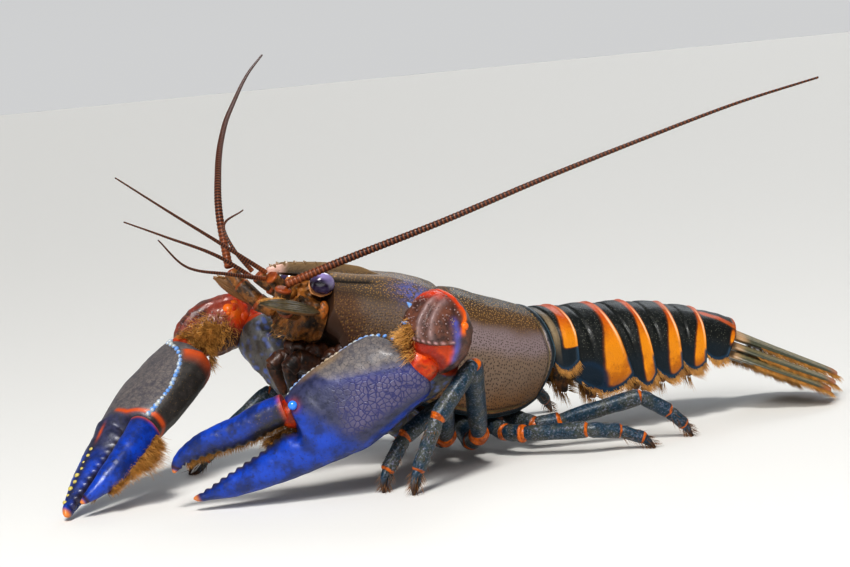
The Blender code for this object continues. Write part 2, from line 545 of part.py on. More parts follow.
def ischium(name, arm, side):
    cut = unit(unit(arm["shoulder"] - arm["elbow"]) + unit(arm["knuckle"] - arm["shoulder"]))
    hip = arm["hip"].copy()
    hip[1] = side * (KEEL_HALF_WIDTH + GAP)
    path = [hip, arm["elbow"] - (0, 0, 0.1), arm["shoulder"] * 0.5 + arm["elbow"] * 0.5,
            arm["shoulder"] - cut * GAP / 2]
    solid("claw_ischium_" + name, tube(path, [4.6, 4.8, 5.6, 5.4], [4.6, 4.6, 5.0, 5.0], (0, 0, 1),
                                       first=(0, 1, 0), last=cut, sides=10), ARM_GREY)


def merus(name, arm):
    first = unit(unit(arm["shoulder"] - arm["elbow"]) + unit(arm["knuckle"] - arm["shoulder"]))
    last = unit(unit(arm["knuckle"] - arm["shoulder"]) + unit(arm["wrist_block"] - arm["knuckle"]))
    start, end = arm["shoulder"] + first * GAP / 2, arm["knuckle"] - last * GAP / 2
    share = np.array([0, 0.2, 0.4, 0.6, 0.76, 1])[:, None]
    path = start + (end - start) * share
    face_way = np.cross(end - start, (0, 0, 1))
    solid("claw_merus_" + name, tube(path, [5.2, 6.0, 7.2, 8.4, 8.6, 7.4], [4.8, 5.4, 6.2, 7.0, 7.2, 6.4],
                                     face_way, first=first, last=last, sides=10), ARM_GREY)


def wrist(name, arm, hand):
    """The rounded wrist block, cut flat where the arm and the hand meet it."""
    centre, size = arm["wrist_block"], arm["block_size"]
    forward = unit(arm["hand_start"] - arm["knuckle"])
    side = unit(np.cross(forward, (0, 0, 1)))
    up = np.cross(side, forward)
    made = solid("claw_wrist_" + name, ball(centre, size, (forward, side, up), rows=9, sides=12), WRIST_RED)
    arm_way = unit(unit(arm["knuckle"] - arm["shoulder"]) + unit(centre - arm["knuckle"]))
    hand_way = unit(unit(arm["hand_start"] - centre) + hand)
    mesh = bmesh.new()
    mesh.from_mesh(made.data)
    cuts = (arm["knuckle"] + arm_way * GAP / 2, -arm_way), (arm["hand_start"] - hand_way * GAP / 2, hand_way)
    for point, normal in cuts:
        place = (point - np.array([ORIGIN[0], ORIGIN[1], 0])) * MM
        cut = bmesh.ops.bisect_plane(mesh, geom=mesh.verts[:] + mesh.edges[:] + mesh.faces[:], dist=1e-7,
                                     plane_co=place, plane_no=normal, clear_outer=True)
        rim = [item for item in cut["geom_cut"] if isinstance(item, bmesh.types.BMEdge)]
        if rim:
            bmesh.ops.contextual_create(mesh, geom=rim)
    bmesh.ops.triangulate(mesh, faces=mesh.faces[:])
    mesh.to_mesh(made.data)
    mesh.free()
    spines = []
    for way in WRIST_SPINES[name]:
        lean = unit(np.array(way) @ np.array((forward, side, up)))
        share = [lean @ forward / size[0], lean @ side / size[1], lean @ up / size[2]]
        skin = centre + lean / np.linalg.norm(share)
        path = [skin - lean * 0.9, skin, skin + lean * 0.6 * SPINE_LENGTH, skin + lean * SPINE_LENGTH]
        wide = [1.5, 1.4, 0.8, 0.25]
        spines.append(solid("spine", tube(path, wide, wide, forward, sides=6)))
    fuse(made, spines)


def hand_point(arm, hand, face_way, across, along, over, out):
    """A point of the hand: along it, across towards the movable finger, out of its outer face."""
    along, over, out = np.broadcast_arrays(np.asarray(along, float), over, out)
    return arm["hand_start"] + along[..., None] * hand + over[..., None] * across + out[..., None] * face_way


def palm(name, arm, hand, face_way, across):
    """The hand with its fixed finger, bead row and the finger's teeth."""
    sides = 14
    shape = through([row[0] for row in PALM_SHAPE], [row[1:] for row in PALM_SHAPE])
    stations = np.array([row[0] for row in PALM_SHAPE])
    over, out = loop(sides, 2.3)
    low, high, thick = shape(stations).T
    middle, half = (low + high) / 2, (high - low) / 2
    rings = hand_point(arm, hand, face_way, across, stations[:, None], middle[:, None] + half[:, None] * over,
                       thick[:, None] / 2 * out)
    hand_way = unit(unit(arm["hand_start"] - arm["wrist_block"]) + hand)
    offset = rings[0] - arm["hand_start"]
    rings[0] = arm["hand_start"] + hand_way * GAP / 2 + offset - np.outer(offset @ hand_way / (hand @ hand_way), hand)
    made = solid("claw_hand_" + name, rings, CLAW_BLUE)
    beads = []
    axes = (across, hand, face_way)
    for at in np.linspace(*BEAD_SPAN, BEAD_COUNT):
        low, high, thick = shape(np.array([at]))[0]
        turn = math.radians(np.interp(at, *zip(*BEAD_TURN[name])))
        side = math.copysign(abs(math.cos(turn)) ** 0.87, math.cos(turn))
        place = hand_point(arm, hand, face_way, across, at, (low + high) / 2 + ((high - low) / 2 - 0.12) * side,
                           (thick / 2 - 0.12) * math.sin(turn) ** 0.87)
        beads.append(solid("bead", ball(place, (BEAD_SIZE,) * 3, axes, rows=3, sides=6)))
    for k, at in enumerate(np.linspace(*TOOTH_SPAN, TOOTH_COUNT)):
        size = TOOTH_SIZE * (1.15 if k == 2 else 0.85) * (1 - 0.04 * k)
        place = hand_point(arm, hand, face_way, across, at, shape(np.array([at]))[0, 1] - 0.35 * size, 0.0)
        beads.append(solid("tooth", ball(place, (size, size, 0.8 * size), axes, rows=3, sides=4)))
    for k in range(BRUSH_LOCKS):
        at = BRUSH_SPAN[0] + (BRUSH_SPAN[1] - BRUSH_SPAN[0]) * (k // 3)
        row = k % 3
        long = BRUSH_LENGTH * (1 - 0.12 * (k // 3)) * (1 - 0.1 * (row == 0))
        path = hand_point(arm, hand, face_way, across, [at - 0.6, at + 0.2, at + 1.6, at + 3.0],
                          [row * 0.9 - 0.6, row * 1.1 - 0.2, row * 1.7 + 0.8, row * 2.0 + 1.2],
                          [-1.2, -3.0 - 0.3 * row, -3.7 - 0.45 * long, -3.4 - 0.85 * long])
        beads.append(solid("lock", tube(path, [1.3, 1.8, 1.7, 0.4], [0.7, 0.8, 0.7, 0.35], across, sides=4)))
    if name == "left":
        at, over, size = HINGE_KNOB
        place = hand_point(arm, hand, face_way, across, at, over, shape(np.array([at]))[0, 2] / 2 - 0.45)
        beads.append(solid("knob", ball(place, (size,) * 3, axes, rows=3, sides=6)))
    fuse(made, beads)


def finger(name, arm, hand, face_way, across):
    """The movable finger."""
    count = 11
    share = np.linspace(0, 1, count)
    stations = np.linspace(0, 1, len(FINGER_WIDTH))
    place = through(stations, FINGER_PATH[name])(share)
    wide, thick = through(stations, FINGER_WIDTH)(share), through(stations, FINGER_THICK)(share)
    path = hand_point(arm, hand, face_way, across, place[:, 0], place[:, 1], 0.0)
    made = solid("claw_finger_" + name, tube(path, wide, thick, face_way, first=hand, sides=10), CLAW_BLUE)
    teeth = []
    for at in np.linspace(0.2, 0.78, TOOTH_COUNT - 1):
        along, over = through(stations, FINGER_PATH[name])(np.array([at]))[0]
        size = TOOTH_SIZE * (0.95 - 0.3 * at)
        edge = through(stations, FINGER_WIDTH)(np.array([at]))[0] / 2 + 0.25 * size
        teeth.append(solid("tooth", ball(hand_point(arm, hand, face_way, across, along, over - edge, 0.0),
                                         (size, size, 0.8 * size), (across, hand, face_way), rows=3, sides=4)))
    fuse(made, teeth)


tail_height = pairs(TAIL_LINE)


def tail_frame(x):
    """Middle of the tail's back at x, with its directions backwards, sideways and up."""
    x = np.asarray(x, float)
    y = TAIL_BEND * x * x
    z = tail_height(x)
    step = 0.5
    back = np.stack([np.full_like(x, 2 * step), TAIL_BEND * ((x + step) ** 2 - (x - step) ** 2),
                     tail_height(x + step) - tail_height(x - step)], axis=-1)
    back /= np.linalg.norm(back, axis=-1, keepdims=True)
    sideways = np.stack([-back[..., 1], back[..., 0], 0 * x], axis=-1)
    sideways /= np.linalg.norm(sideways, axis=-1, keepdims=True)
    up = np.cross(back, sideways)
    up *= np.sign(up[..., 2:3])
    return np.stack([x, y, z], axis=-1), back, sideways, up


def tail_rings():
    """Six rings: an arched back, hanging side lobes and a flat belly plate between them."""
    columns = 19
    reach = np.abs(np.linspace(-1, 1, columns))[None, :]
    side = np.sign(np.linspace(-1, 1, columns))[None, :]
    hang = np.clip((reach - 0.6) / 0.4, 0, 1)
    angle = np.minimum(reach / 0.6, 1) * math.pi / 2
    share = np.array([0.0, 0.18, 0.5, 0.82, 1.0])[:, None]
    wide = pairs(RING_HALF_WIDTH)
    for k in range(6):
        scale = STEP + (1 - STEP) * np.minimum(1, share * 1.6)
        lobe = LOBE_DEPTH[k] * (0.60 + 0.40 * np.sin(math.pi * (share * 0.80 + 0.10)) ** 0.6)
        arch, belly = 0.56 * LOBE_DEPTH[k], BELLY_DEPTH * LOBE_DEPTH[k] + 1.6
        drop = arch * (1 - np.cos(angle)) + (lobe - arch) * hang + (1 - scale) * 8
        inner_drop = np.where(reach > 0.66, np.maximum(drop, belly), belly)
        half = wide(RING_ENDS[k] + (RING_ENDS[k + 1] - RING_ENDS[k]) * share) * scale
        y = half * (np.sin(angle) + 0.03 * hang)
        inner_y = np.minimum(y - 1.5 + 0.7 * hang, (half - 1.5) * np.minimum(1, reach / 0.66))
        outer = tail_point(ring_x(k, share, drop), side * y, drop)
        inner = tail_point(ring_x(k, share, inner_drop), side * inner_y, inner_drop)
        ring = solid("tail_ring_%d" % (k + 1), np.concatenate([outer, inner[:, ::-1]], axis=1), RING_BLACK)
        if 0 < k < 5:
            fuse(ring, [swimmeret(k, way, belly) for way in (-1, 1)])


def swimmeret(k, way, belly):
    """A flat fringed blade that hangs from the belly plate and leans back."""
    long = SWIMMERET_LENGTH * (1 - 0.1 * k)
    drop = belly + np.array([-1.0, 0.4, 0.45 * long, 0.85 * long, long])
    middle = (RING_ENDS[k] + RING_ENDS[k + 1]) / 2 + LOBE_LEAN[k] * belly / LEAN_DEPTH - 0.6
    x = middle + np.array([0.0, 0.1, 0.6, 1.6, 2.4])
    path = tail_point(x, way * np.array([4.6, 4.8, 5.6, 6.0, 6.1]), drop)
    return solid("blade", tube(path, [1.6, 2.2, 3.0, 2.4, 0.9], [0.9, 0.9, 0.9, 0.8, 0.5], (0, 1, 0), sides=6))


def ring_x(k, share, drop):
    """Where a ring's joints lie along the tail: they slant back towards the lobes."""
    start = RING_ENDS[k] + LOBE_LEAN[k] * drop / LEAN_DEPTH + GAP / 2
    end = RING_ENDS[k + 1] + LOBE_LEAN[k + 1] * drop / LEAN_DEPTH - GAP / 2
    return start + (end - start) * share


def tail_point(x, y, drop):
    """A point of the tail, from its place along the back line, its side and its depth below."""
    place, back, sideways, up = tail_frame(x)
    return place + y[..., None] * sideways - drop[..., None] * up


def plate(name, root, along, across, lengths, halves, thick, finish):
    """A thin leaf of the tail fan, from its root along one direction and spread across another."""
    along, across = unit(along), unit(np.asarray(across, float) - np.dot(across, unit(along)) * unit(along))
    normal = np.cross(along, across)
    columns = np.linspace(-1, 1, 9)
    rings = []
    for length, half, depth in zip(lengths, halves, thick):
        middle = np.asarray(root, float) + length * along
        crown = depth / 2 * (1 - 0.55 * columns ** 2)
        top = middle + np.outer(columns * half, across) + np.outer(crown + 0.4 * (1 - columns ** 2), normal)
        bottom = middle + np.outer(columns * half, across) + np.outer(-crown + 0.4 * (1 - columns ** 2), normal)
        rings.append(np.concatenate([top, bottom[::-1]]))
    return solid(name, rings, finish)


def tail_fan():
    """The middle plate and two leaves each side, folded close and held just off the floor."""
    place, back, sideways, up = tail_frame(np.array(RING_ENDS[-1]))
    root = place + 0.9 * back - 3.2 * up
    fan_way = unit(FAN_WAY)
    across = unit(np.cross((0, 0, 1), fan_way))
    lengths = np.array(LEAF_LENGTHS)
    plate("telson", root, fan_way, across, lengths,
          (3.4, 3.9, 4.2, 4.0, 3.4, 1.9), (1.9, 1.7, 1.4, 1.2, 1.0, 0.7), FAN_OLIVE)
    for name, side in (("left", -1), ("right", 1)):
        for kind, spread, drop, shift, reach in LEAF_KINDS:
            way = unit(fan_way + side * spread * across)
            start = root + side * shift * across - drop * unit(up)
            plate("uropod_%s_%s" % (kind, name), start, way, across, lengths * reach,
                  (1.5, 2.5, 3.5, 3.9, 3.4, 1.7), (1.2, 1.2, 1.1, 1.0, 0.9, 0.7), FAN_OLIVE)


def build():
    for old in list(bpy.data.objects):
        bpy.data.objects.remove(old)
    carapace()
    keel()
    face()
    eyes()
    feelers()
    mouth_legs()
    legs()
    claws()
    tail_rings()
    tail_fan()


build()
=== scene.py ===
# A freshwater crayfish at life size, dressed for a museum shelf: brown chest, blue claws and a banded tail.
# Shapes are worked out in millimetres, head to -x, left side to -y, and set down in metres.

import math

import bpy
import numpy as np
from mathutils import Matrix, Vector


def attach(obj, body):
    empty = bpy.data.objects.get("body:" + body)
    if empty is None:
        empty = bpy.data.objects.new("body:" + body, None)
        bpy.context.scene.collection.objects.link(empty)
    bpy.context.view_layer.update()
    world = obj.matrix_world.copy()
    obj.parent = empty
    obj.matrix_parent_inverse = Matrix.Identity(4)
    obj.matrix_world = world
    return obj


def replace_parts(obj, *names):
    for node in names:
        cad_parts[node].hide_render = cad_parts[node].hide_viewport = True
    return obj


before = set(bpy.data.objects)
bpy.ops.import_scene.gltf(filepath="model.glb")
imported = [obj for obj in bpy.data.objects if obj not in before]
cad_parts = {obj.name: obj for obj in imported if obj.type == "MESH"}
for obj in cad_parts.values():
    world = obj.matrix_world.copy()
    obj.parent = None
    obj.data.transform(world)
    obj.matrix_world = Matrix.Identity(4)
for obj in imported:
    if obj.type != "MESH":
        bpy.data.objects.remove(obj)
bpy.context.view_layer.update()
print("frame loaded,", len(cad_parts), "nodes")

mm = 0.001
homeShift = np.array([14.475, -19.949, 0.0])      # from the drawing's zero to the middle of the model, mm
chance = np.random.default_rng(7)
sharpFrom = 48.0                                  # degrees between faces from which their edge looks creased

view = {"place": (-210.725, -406.949, 74.0), "turn": 28.0, "dip": 5.5, "roll": 5.3, "lens": 102.918}


def setCamera():
    turn, dip, roll = (math.radians(view[key]) for key in ("turn", "dip", "roll"))
    ahead = Vector((math.sin(turn) * math.cos(dip), math.cos(turn) * math.cos(dip), -math.sin(dip)))
    right = Vector((math.cos(turn), -math.sin(turn), 0))
    up = right.cross(ahead)
    rolledRight = right * math.cos(roll) - up * math.sin(roll)
    rolledUp = up * math.cos(roll) + right * math.sin(roll)
    lens = bpy.data.cameras.new("photoCamera")
    lens.lens, lens.sensor_width = view["lens"], 36.0
    camera = bpy.data.objects.new("photoCamera", lens)
    camera.matrix_world = Matrix.Translation(Vector(view["place"]) * mm) @ Matrix(
        (rolledRight, rolledUp, -ahead)).transposed().to_4x4()
    bpy.context.scene.collection.objects.link(camera)
    bpy.context.scene.camera = camera


lamps = {
    "sunLamp": {"kind": "SUN", "from": (-0.30, -0.52, 0.80), "power": 2.5, "tint": (1.0, 0.985, 0.95),
                "angle": 11},
    "backSun": {"kind": "SUN", "from": (0.55, 0.62, 0.55), "power": 0.5, "tint": (0.9, 0.95, 1.0),
                "angle": 25},
    "softBox": {"kind": "AREA", "from": (-0.5, -0.62, 0.6), "power": 1.6, "tint": (1.0, 1.0, 1.0),
                "size": 170},
}
# colours low and high round the model, how far up the change reaches, and the distance of the lamps in mm
room = {"low": (0.66, 0.665, 0.67), "high": (0.20, 0.215, 0.235), "strength": 1.0, "reach": 0.42,
        "lampsAway": 520, "contrast": "Medium High Contrast", "exposure": -0.28}


def setLights():
    for name, lamp in lamps.items():
        light = bpy.data.lights.new(name, lamp["kind"])
        light.energy, light.color = lamp["power"], lamp["tint"]
        if lamp["kind"] == "SUN":
            light.angle = math.radians(lamp["angle"])
        else:
            light.size = lamp["size"] * mm
        made = bpy.data.objects.new(name, light)
        made.location = Vector(lamp["from"]) * room["lampsAway"] * mm
        made.rotation_euler = (-Vector(lamp["from"])).to_track_quat("-Z", "Y").to_euler()
        bpy.context.scene.collection.objects.link(made)
    world = bpy.data.worlds.new("paleRoom")       # pale near the horizon, dimmer overhead
    world.use_nodes = True
    tree = world.node_tree
    turn, split, ramp, blend = (tree.nodes.new("ShaderNode" + kind) for kind in
                                ("TexCoord", "SeparateXYZ", "MapRange", "Mix"))
    blend.data_type = "RGBA"
    ramp.interpolation_type = "SMOOTHSTEP"
    ramp.inputs["From Max"].default_value = room["reach"]
    blend.inputs[6].default_value, blend.inputs[7].default_value = (*room["low"], 1), (*room["high"], 1)
    tree.links.new(turn.outputs["Generated"], split.inputs[0])
    tree.links.new(split.outputs["Z"], ramp.inputs["Value"])
    tree.links.new(ramp.outputs[0], blend.inputs[0])
    tree.links.new(blend.outputs[2], tree.nodes["Background"].inputs["Color"])
    tree.nodes["Background"].inputs["Strength"].default_value = room["strength"]
    bpy.context.scene.world = world
    shown = bpy.context.scene.view_settings
    shown.view_transform, shown.look, shown.exposure = "Standard", room["contrast"], room["exposure"]


class Ink:
    # one value or colour inside a material: sums and products of inks add their own nodes
    def __init__(self, tree, socket):
        self.tree, self.socket = tree, socket

    def feed(self, value, socket):
        if isinstance(value, Ink):
            self.tree.links.new(value.socket, socket)
        elif hasattr(value, "__len__") and len(value) == 3 and socket.type == "RGBA":
            socket.default_value = (*value, 1)
        else:
            socket.default_value = value

    def maths(self, operation, *others):
        node = self.tree.nodes.new("ShaderNodeMath")
        node.operation = operation
        for value, socket in zip((self,) + others, node.inputs):
            self.feed(value, socket)
        return Ink(self.tree, node.outputs[0])

    def __add__(self, other):
        return self.maths("ADD", other)

    def __sub__(self, other):
        return self.maths("SUBTRACT", other)

    def __rsub__(self, other):
        return self.maths("MULTIPLY", -1.0).maths("ADD", other)

    def __mul__(self, other):
        return self.maths("MULTIPLY", other)

    __radd__, __rmul__ = __add__, __mul__

    def top(self, other):
        return self.maths("MAXIMUM", other)

    def low(self, other):
        return self.maths("MINIMUM", other)

    def rise(self, start, end):
        # 0 before start, 1 after end, smooth between; start above end makes it fall
        node = self.tree.nodes.new("ShaderNodeMapRange")
        node.interpolation_type = "SMOOTHSTEP"
        down = start > end
        for key, value in zip(("From Min", "From Max", "To Min", "To Max"),
                              (end, start, 1.0, 0.0) if down else (start, end, 0.0, 1.0)):
            node.inputs[key].default_value = value
        self.feed(self, node.inputs["Value"])
        return Ink(self.tree, node.outputs[0])


class Finish:
    # a material and the record's slot that it belongs to
    def __init__(self, name, slotName):
        self.slotName = slotName
        self.material = bpy.data.materials.new(name)
        self.material.use_nodes = True
        self.tree = self.material.node_tree
        self.shader = self.tree.nodes["Principled BSDF"]

    def node(self, kind, settings=None, inputs=None, output=0):
        made = self.tree.nodes.new(kind)
        for key, value in (settings or {}).items():
            setattr(made, key, value)
        ink = Ink(self.tree, made.outputs[output])
        for key, value in (inputs or {}).items():
            ink.feed(value, made.inputs[key])
        return ink

    def mark(self, name):
        # a value that the mesh carries on its points
        return self.node("ShaderNodeAttribute", {"attribute_name": name}, output="Fac")

    def where(self):
        return self.node("ShaderNodeTexCoord", output="Object")

    def noise(self, perMm, detail=3.0, rough=0.55):
        # cloudy values from 0 to 1, mostly near a half
        return self.node("ShaderNodeTexNoise", None, {"Vector": self.where(), "Scale": perMm / mm,
                                                      "Detail": detail, "Roughness": rough})

    def cells(self, perMm, feature="F1", spread=1.0):
        # distance to the nearest of many dots in space, or to the edge between their cells
        return self.node("ShaderNodeTexVoronoi", {"feature": feature},
                         {"Vector": self.where(), "Scale": perMm / mm, "Randomness": spread}, "Distance")

    def dotted(self, first, second, perMm, spread=0.75):
        # distance to the nearest of many dots strewn over two marks in millimetres
        spot = self.node("ShaderNodeCombineXYZ", None, {"X": first, "Y": second})
        return self.node("ShaderNodeTexVoronoi", {"voronoi_dimensions": "2D"},
                         {"Vector": spot, "Scale": perMm, "Randomness": spread}, "Distance")

    def mix(self, first, second, share):
        # the first colour where share is 0, the second where it is 1; plain colours are a screen's, 0 to 255
        first, second = (colour if isinstance(colour, Ink) else tint(*colour) for colour in (first, second))
        return self.node("ShaderNodeMix", {"data_type": "RGBA"}, {0: share, 6: first, 7: second}, 2)

    def ground(self, first, second, share):
        self.colour = self.mix(first, second, share)

    def layer(self, colour, share):
        # lays one more colour over the ground where share is 1
        self.colour = self.mix(self.colour, colour, share)

    def paint(self, rough, coat=0.0, height=None, depth=0.15, coatRough=0.08, gloss=0.5):
        # height is the bump in parts of depth, which is in millimetres
        self.feed("Base Color", self.colour)
        self.feed("Roughness", rough)
        self.feed("Coat Weight", coat)
        self.feed("Coat Roughness", coatRough)
        self.feed("Specular IOR Level", gloss)
        if height is not None:
            self.feed("Normal", self.node("ShaderNodeBump", None, {"Strength": 1.0, "Distance": depth * mm,
                                                                   "Height": height}))

    def feed(self, key, value):
        Ink(self.tree, None).feed(value, self.shader.inputs[key])


def tint(red, green, blue):
    # a screen's colour as the linear numbers that shaders take
    shares = np.array([red, green, blue]) / 255.0
    return tuple(np.where(shares <= 0.04045, shares / 12.92, ((shares + 0.055) / 1.055) ** 2.4))


def unit(vector):
    vector = np.asarray(vector, float)
    return vector / np.linalg.norm(vector, axis=-1, keepdims=True)


def hill(value, middle, width):
    # a smooth bump of height 1 round the middle
    return np.exp(-((value - middle) / width) ** 2)


def ease(value, start, end):
    # 0 before start, 1 after end, smooth between
    share = np.clip((value - start) / (end - start), 0, 1)
    return share * share * (3 - 2 * share)


def fall(value, start, end):
    # 1 before start, 0 after end
    return 1 - ease(value, start, end)


def curve(rows):
    # rows of (station, value, ...): a cubic through them that never overshoots
    table = np.array(rows, float)
    x, y = table[:, 0], table[:, 1:]
    step = np.diff(x)[:, None]
    slope = np.diff(y, axis=0) / step
    lean = np.vstack([slope[:1], (slope[1:] + slope[:-1]) / 2, slope[-1:]])
    lean[1:-1][slope[1:] * slope[:-1] <= 0] = 0

    def value(at):
        at = np.asarray(at, float)
        k = np.clip(np.searchsorted(x, at.ravel()) - 1, 0, len(x) - 2)
        h = step[k]
        f = (at.ravel()[:, None] - x[k][:, None]) / h
        result = (y[k] * (1 + 2 * f) * (1 - f) ** 2 + lean[k] * h * f * (1 - f) ** 2
                  + y[k + 1] * f * f * (3 - 2 * f) + lean[k + 1] * h * f * f * (f - 1))
        return result[:, 0].reshape(at.shape) if y.shape[1] == 1 else result.reshape(*at.shape, -1)
    return value


def route(points, count):
    # evenly spaced points on one smooth curve through the given ones
    points = np.asarray(points, float)
    lengths = np.r_[0, np.cumsum(np.linalg.norm(np.diff(points, axis=0), axis=1))]
    slope = np.gradient(points, lengths, axis=0)
    at = np.linspace(0, lengths[-1], count)
    k = np.clip(np.searchsorted(lengths, at) - 1, 0, len(points) - 2)
    h = (lengths[k + 1] - lengths[k])[:, None]
    f = (at - lengths[k])[:, None] / h
    return (points[k] * (1 + 2 * f) * (1 - f) ** 2 + slope[k] * h * f * (1 - f) ** 2
            + points[k + 1] * f * f * (3 - 2 * f) + slope[k + 1] * h * f * f * (f - 1))


def squarish(value, power):
    # bends a sine or cosine so that the circle that it draws becomes a superellipse
    return np.sign(value) * np.abs(value) ** power


def spokes(sides):
    # the angles of a ring's points
    return (np.arange(sides) + 0.5) * 2 * math.pi / sides


def ringsAlong(path, wide, thick, face, sides=40, power=2.2):
    # rings round a path: half of wide times the bent cosine across it, half of thick times the bent sine
    # towards face
    path, face = np.asarray(path, float), np.asarray(face, float)
    wide, thick = (np.broadcast_to(size, len(path))[:, None, None] / 2 for size in (wide, thick))
    way = unit(np.gradient(path, axis=0))
    up = unit(face - (way @ face)[:, None] * way)
    side = np.cross(way, up)
    across, rise = (squarish(bent(spokes(sides)), 2 / power)[None, :, None] for bent in (np.cos, np.sin))
    return path[:, None, :] + across * wide * side[:, None, :] + rise * thick * up[:, None, :]


def ballRings(rows, sides, cap=0.03):
    # a ball of radius 1 as rings from pole to pole along the first axis: cos(turn), then sin(turn) times the
    # cosine and the sine of the spin; cap is the share of the half turn that is left open at each pole
    turn = np.linspace(cap, 1 - cap, rows)[:, None] * math.pi
    spin = np.linspace(0, 2 * math.pi, sides, endpoint=False)[None, :]
    return np.stack([np.cos(turn) + 0 * spin, np.sin(turn) * np.cos(spin), np.sin(turn) * np.sin(spin)], -1)


def raised(rings, height):
    # rings that close on themselves, moved outward along their unit normals by height
    normal = np.cross(np.gradient(rings, axis=0), np.roll(rings, -1, 1) - np.roll(rings, 1, 1))
    normal = normal / np.maximum(np.linalg.norm(normal, axis=2, keepdims=True), 1e-9)
    normal = normal * np.sign((normal * (rings - rings.mean(axis=1, keepdims=True))).sum())
    return rings + normal * height[..., None]


def lumps(points, size, seed):
    # smooth hills and hollows in space, from a few sine waves of random direction, about -1 to 1
    draw = np.random.default_rng(seed)
    total = np.zeros(points.shape[:-1])
    for _ in range(7):
        total += np.sin(points @ (unit(draw.normal(size=3)) * 2 * math.pi / (size * draw.uniform(0.7, 1.5)))
                        + draw.uniform(0, 6.3))
    return total / 4


class Form:
    # points, faces of one or more lengths, and named marks on the points
    def __init__(self, points, faces, marks=None, bake=None):
        self.points, self.faces = np.asarray(points, float).reshape(-1, 3), faces
        self.marks, self.bake = marks or {}, bake


def tubeFaces(rows, count):
    # the numbers of a stack of rings' points, and the quads between neighbouring rings
    index = np.arange(rows * count).reshape(rows, count)
    near, far = index[:-1], index[1:]
    return index, np.stack([near, np.roll(near, -1, 1), np.roll(far, -1, 1), far], -1).reshape(-1, 4)


def closedFaces(rings):
    # a strip of quads closes each end ring, and all faces are turned so that the volume inside is positive
    rows, count = rings.shape[:2]
    index, quads = tubeFaces(rows, count)
    k = np.arange(count // 2 - 1)
    for ring, step in ((index[0], -1), (index[-1], 1)):
        strip = np.stack([ring[k], ring[k + 1], ring[count - 2 - k], ring[count - 1 - k]], -1)
        quads = np.vstack([quads, strip[:, ::step]])
    corner = rings.reshape(-1, 3)[quads] - rings.mean(axis=(0, 1))
    volume = sum((np.cross(corner[:, k] - corner[:, 0], corner[:, k + 1] - corner[:, 0]) * corner[:, 0]).sum()
                 for k in (1, 2))
    return quads if volume > 0 else quads[:, ::-1]


def skin(rings, marks=None):
    # closes a stack of rings into one body that stays above the floor
    rings = np.array(rings)
    rings[..., 2] = np.maximum(rings[..., 2], 0)
    marks = {key: np.broadcast_to(value, rings.shape[:2]).ravel() for key, value in (marks or {}).items()}
    return Form(rings, [closedFaces(rings)], marks)


def toAll(marks, count, each):
    # gives the value of each small form to all of its points
    return {key: np.repeat(np.broadcast_to(value, count), each) for key, value in (marks or {}).items()}


def grains(centres, sizes, axes, marks=None, rows=7, sides=10):
    # many small ovoids: the same closed ball set at each centre, with its half sizes along three axes
    ball = ballRings(rows, sides, 0.04)
    faces, ball = closedFaces(ball), ball.reshape(-1, 3)
    centres = np.asarray(centres, float).reshape(-1, 3)
    count = len(centres)
    sizes, axes = np.broadcast_to(sizes, centres.shape), np.broadcast_to(axes, (count, 3, 3))
    points = centres[:, None, :] + np.einsum("pk,nk,nkj->npj", ball, sizes, axes)
    points[..., 2] = np.maximum(points[..., 2], 0)
    if np.linalg.det(axes[0]) < 0:
        faces = faces[:, ::-1]
    faces = (faces[None] + np.arange(count)[:, None, None] * len(ball)).reshape(-1, 4)
    return Form(points, [faces], toAll(marks, count, len(ball)))


hairs = {"taper": (1, 0.85, 0.5, 0.08), "patch": 0.003, "spread": 0.99}      # the last two are on the unwrap


def bristles(roots, ways, lengths, wide, sag, marks=None, sides=3, taper=hairs["taper"], unwrap=True):
    # tapered hairs: the middle of a hair at the share s of its length is root + (way s + sag s s) length,
    # and its half width there is wide times taper / 2; its patch of the unwrap lies where its root does
    # from above
    roots, ways, count, rows = np.asarray(roots, float), unit(ways), len(roots), len(taper)
    share = np.linspace(0, 1, rows)[None, :, None]
    lengths = np.broadcast_to(lengths, count)[:, None, None]
    sag = np.asarray(sag)[..., None, :]
    middle = roots[:, None] + (ways[:, None] * share + sag * share ** 2) * lengths
    side = unit(np.cross(ways, (0.31, 0.52, 0.8)))
    up = np.cross(ways, side)
    spin = np.arange(sides) * 2 * math.pi / sides
    offset = side[:, None, :] * np.cos(spin)[:, None] + up[:, None, :] * np.sin(spin)[:, None]
    thick = np.broadcast_to(wide, count)[:, None] / 2 * np.array(taper)[None, :]
    points = middle[:, :, None, :] + offset[:, None] * thick[..., None, None]
    points[..., 2] = np.maximum(points[..., 2], 0)
    index, quads = tubeFaces(rows, sides)
    shift = np.arange(count)[:, None, None] * rows * sides
    ends = np.stack([index[0][::-1], index[-1]])
    faces = [(quads[None] + shift).reshape(-1, 4), (ends[None] + shift).reshape(-1, sides)]
    marks = toAll(marks, count, rows * sides)
    marks["root"] = np.tile(np.repeat(np.linspace(0, 1, rows), sides), count)
    if not unwrap:
        return Form(points, faces, marks)
    above = roots[:, :2] - roots[:, :2].min(axis=0)
    place = above / (np.ptp(above, axis=0).max() + 1e-6) * hairs["spread"]
    spot = np.stack(np.broadcast_arrays(np.linspace(0, hairs["patch"], rows)[:, None],
                                        np.linspace(0, hairs["patch"], sides)), -1)
    return Form(points, faces, marks, (place[:, None, None] + spot[None]).reshape(-1, 2))


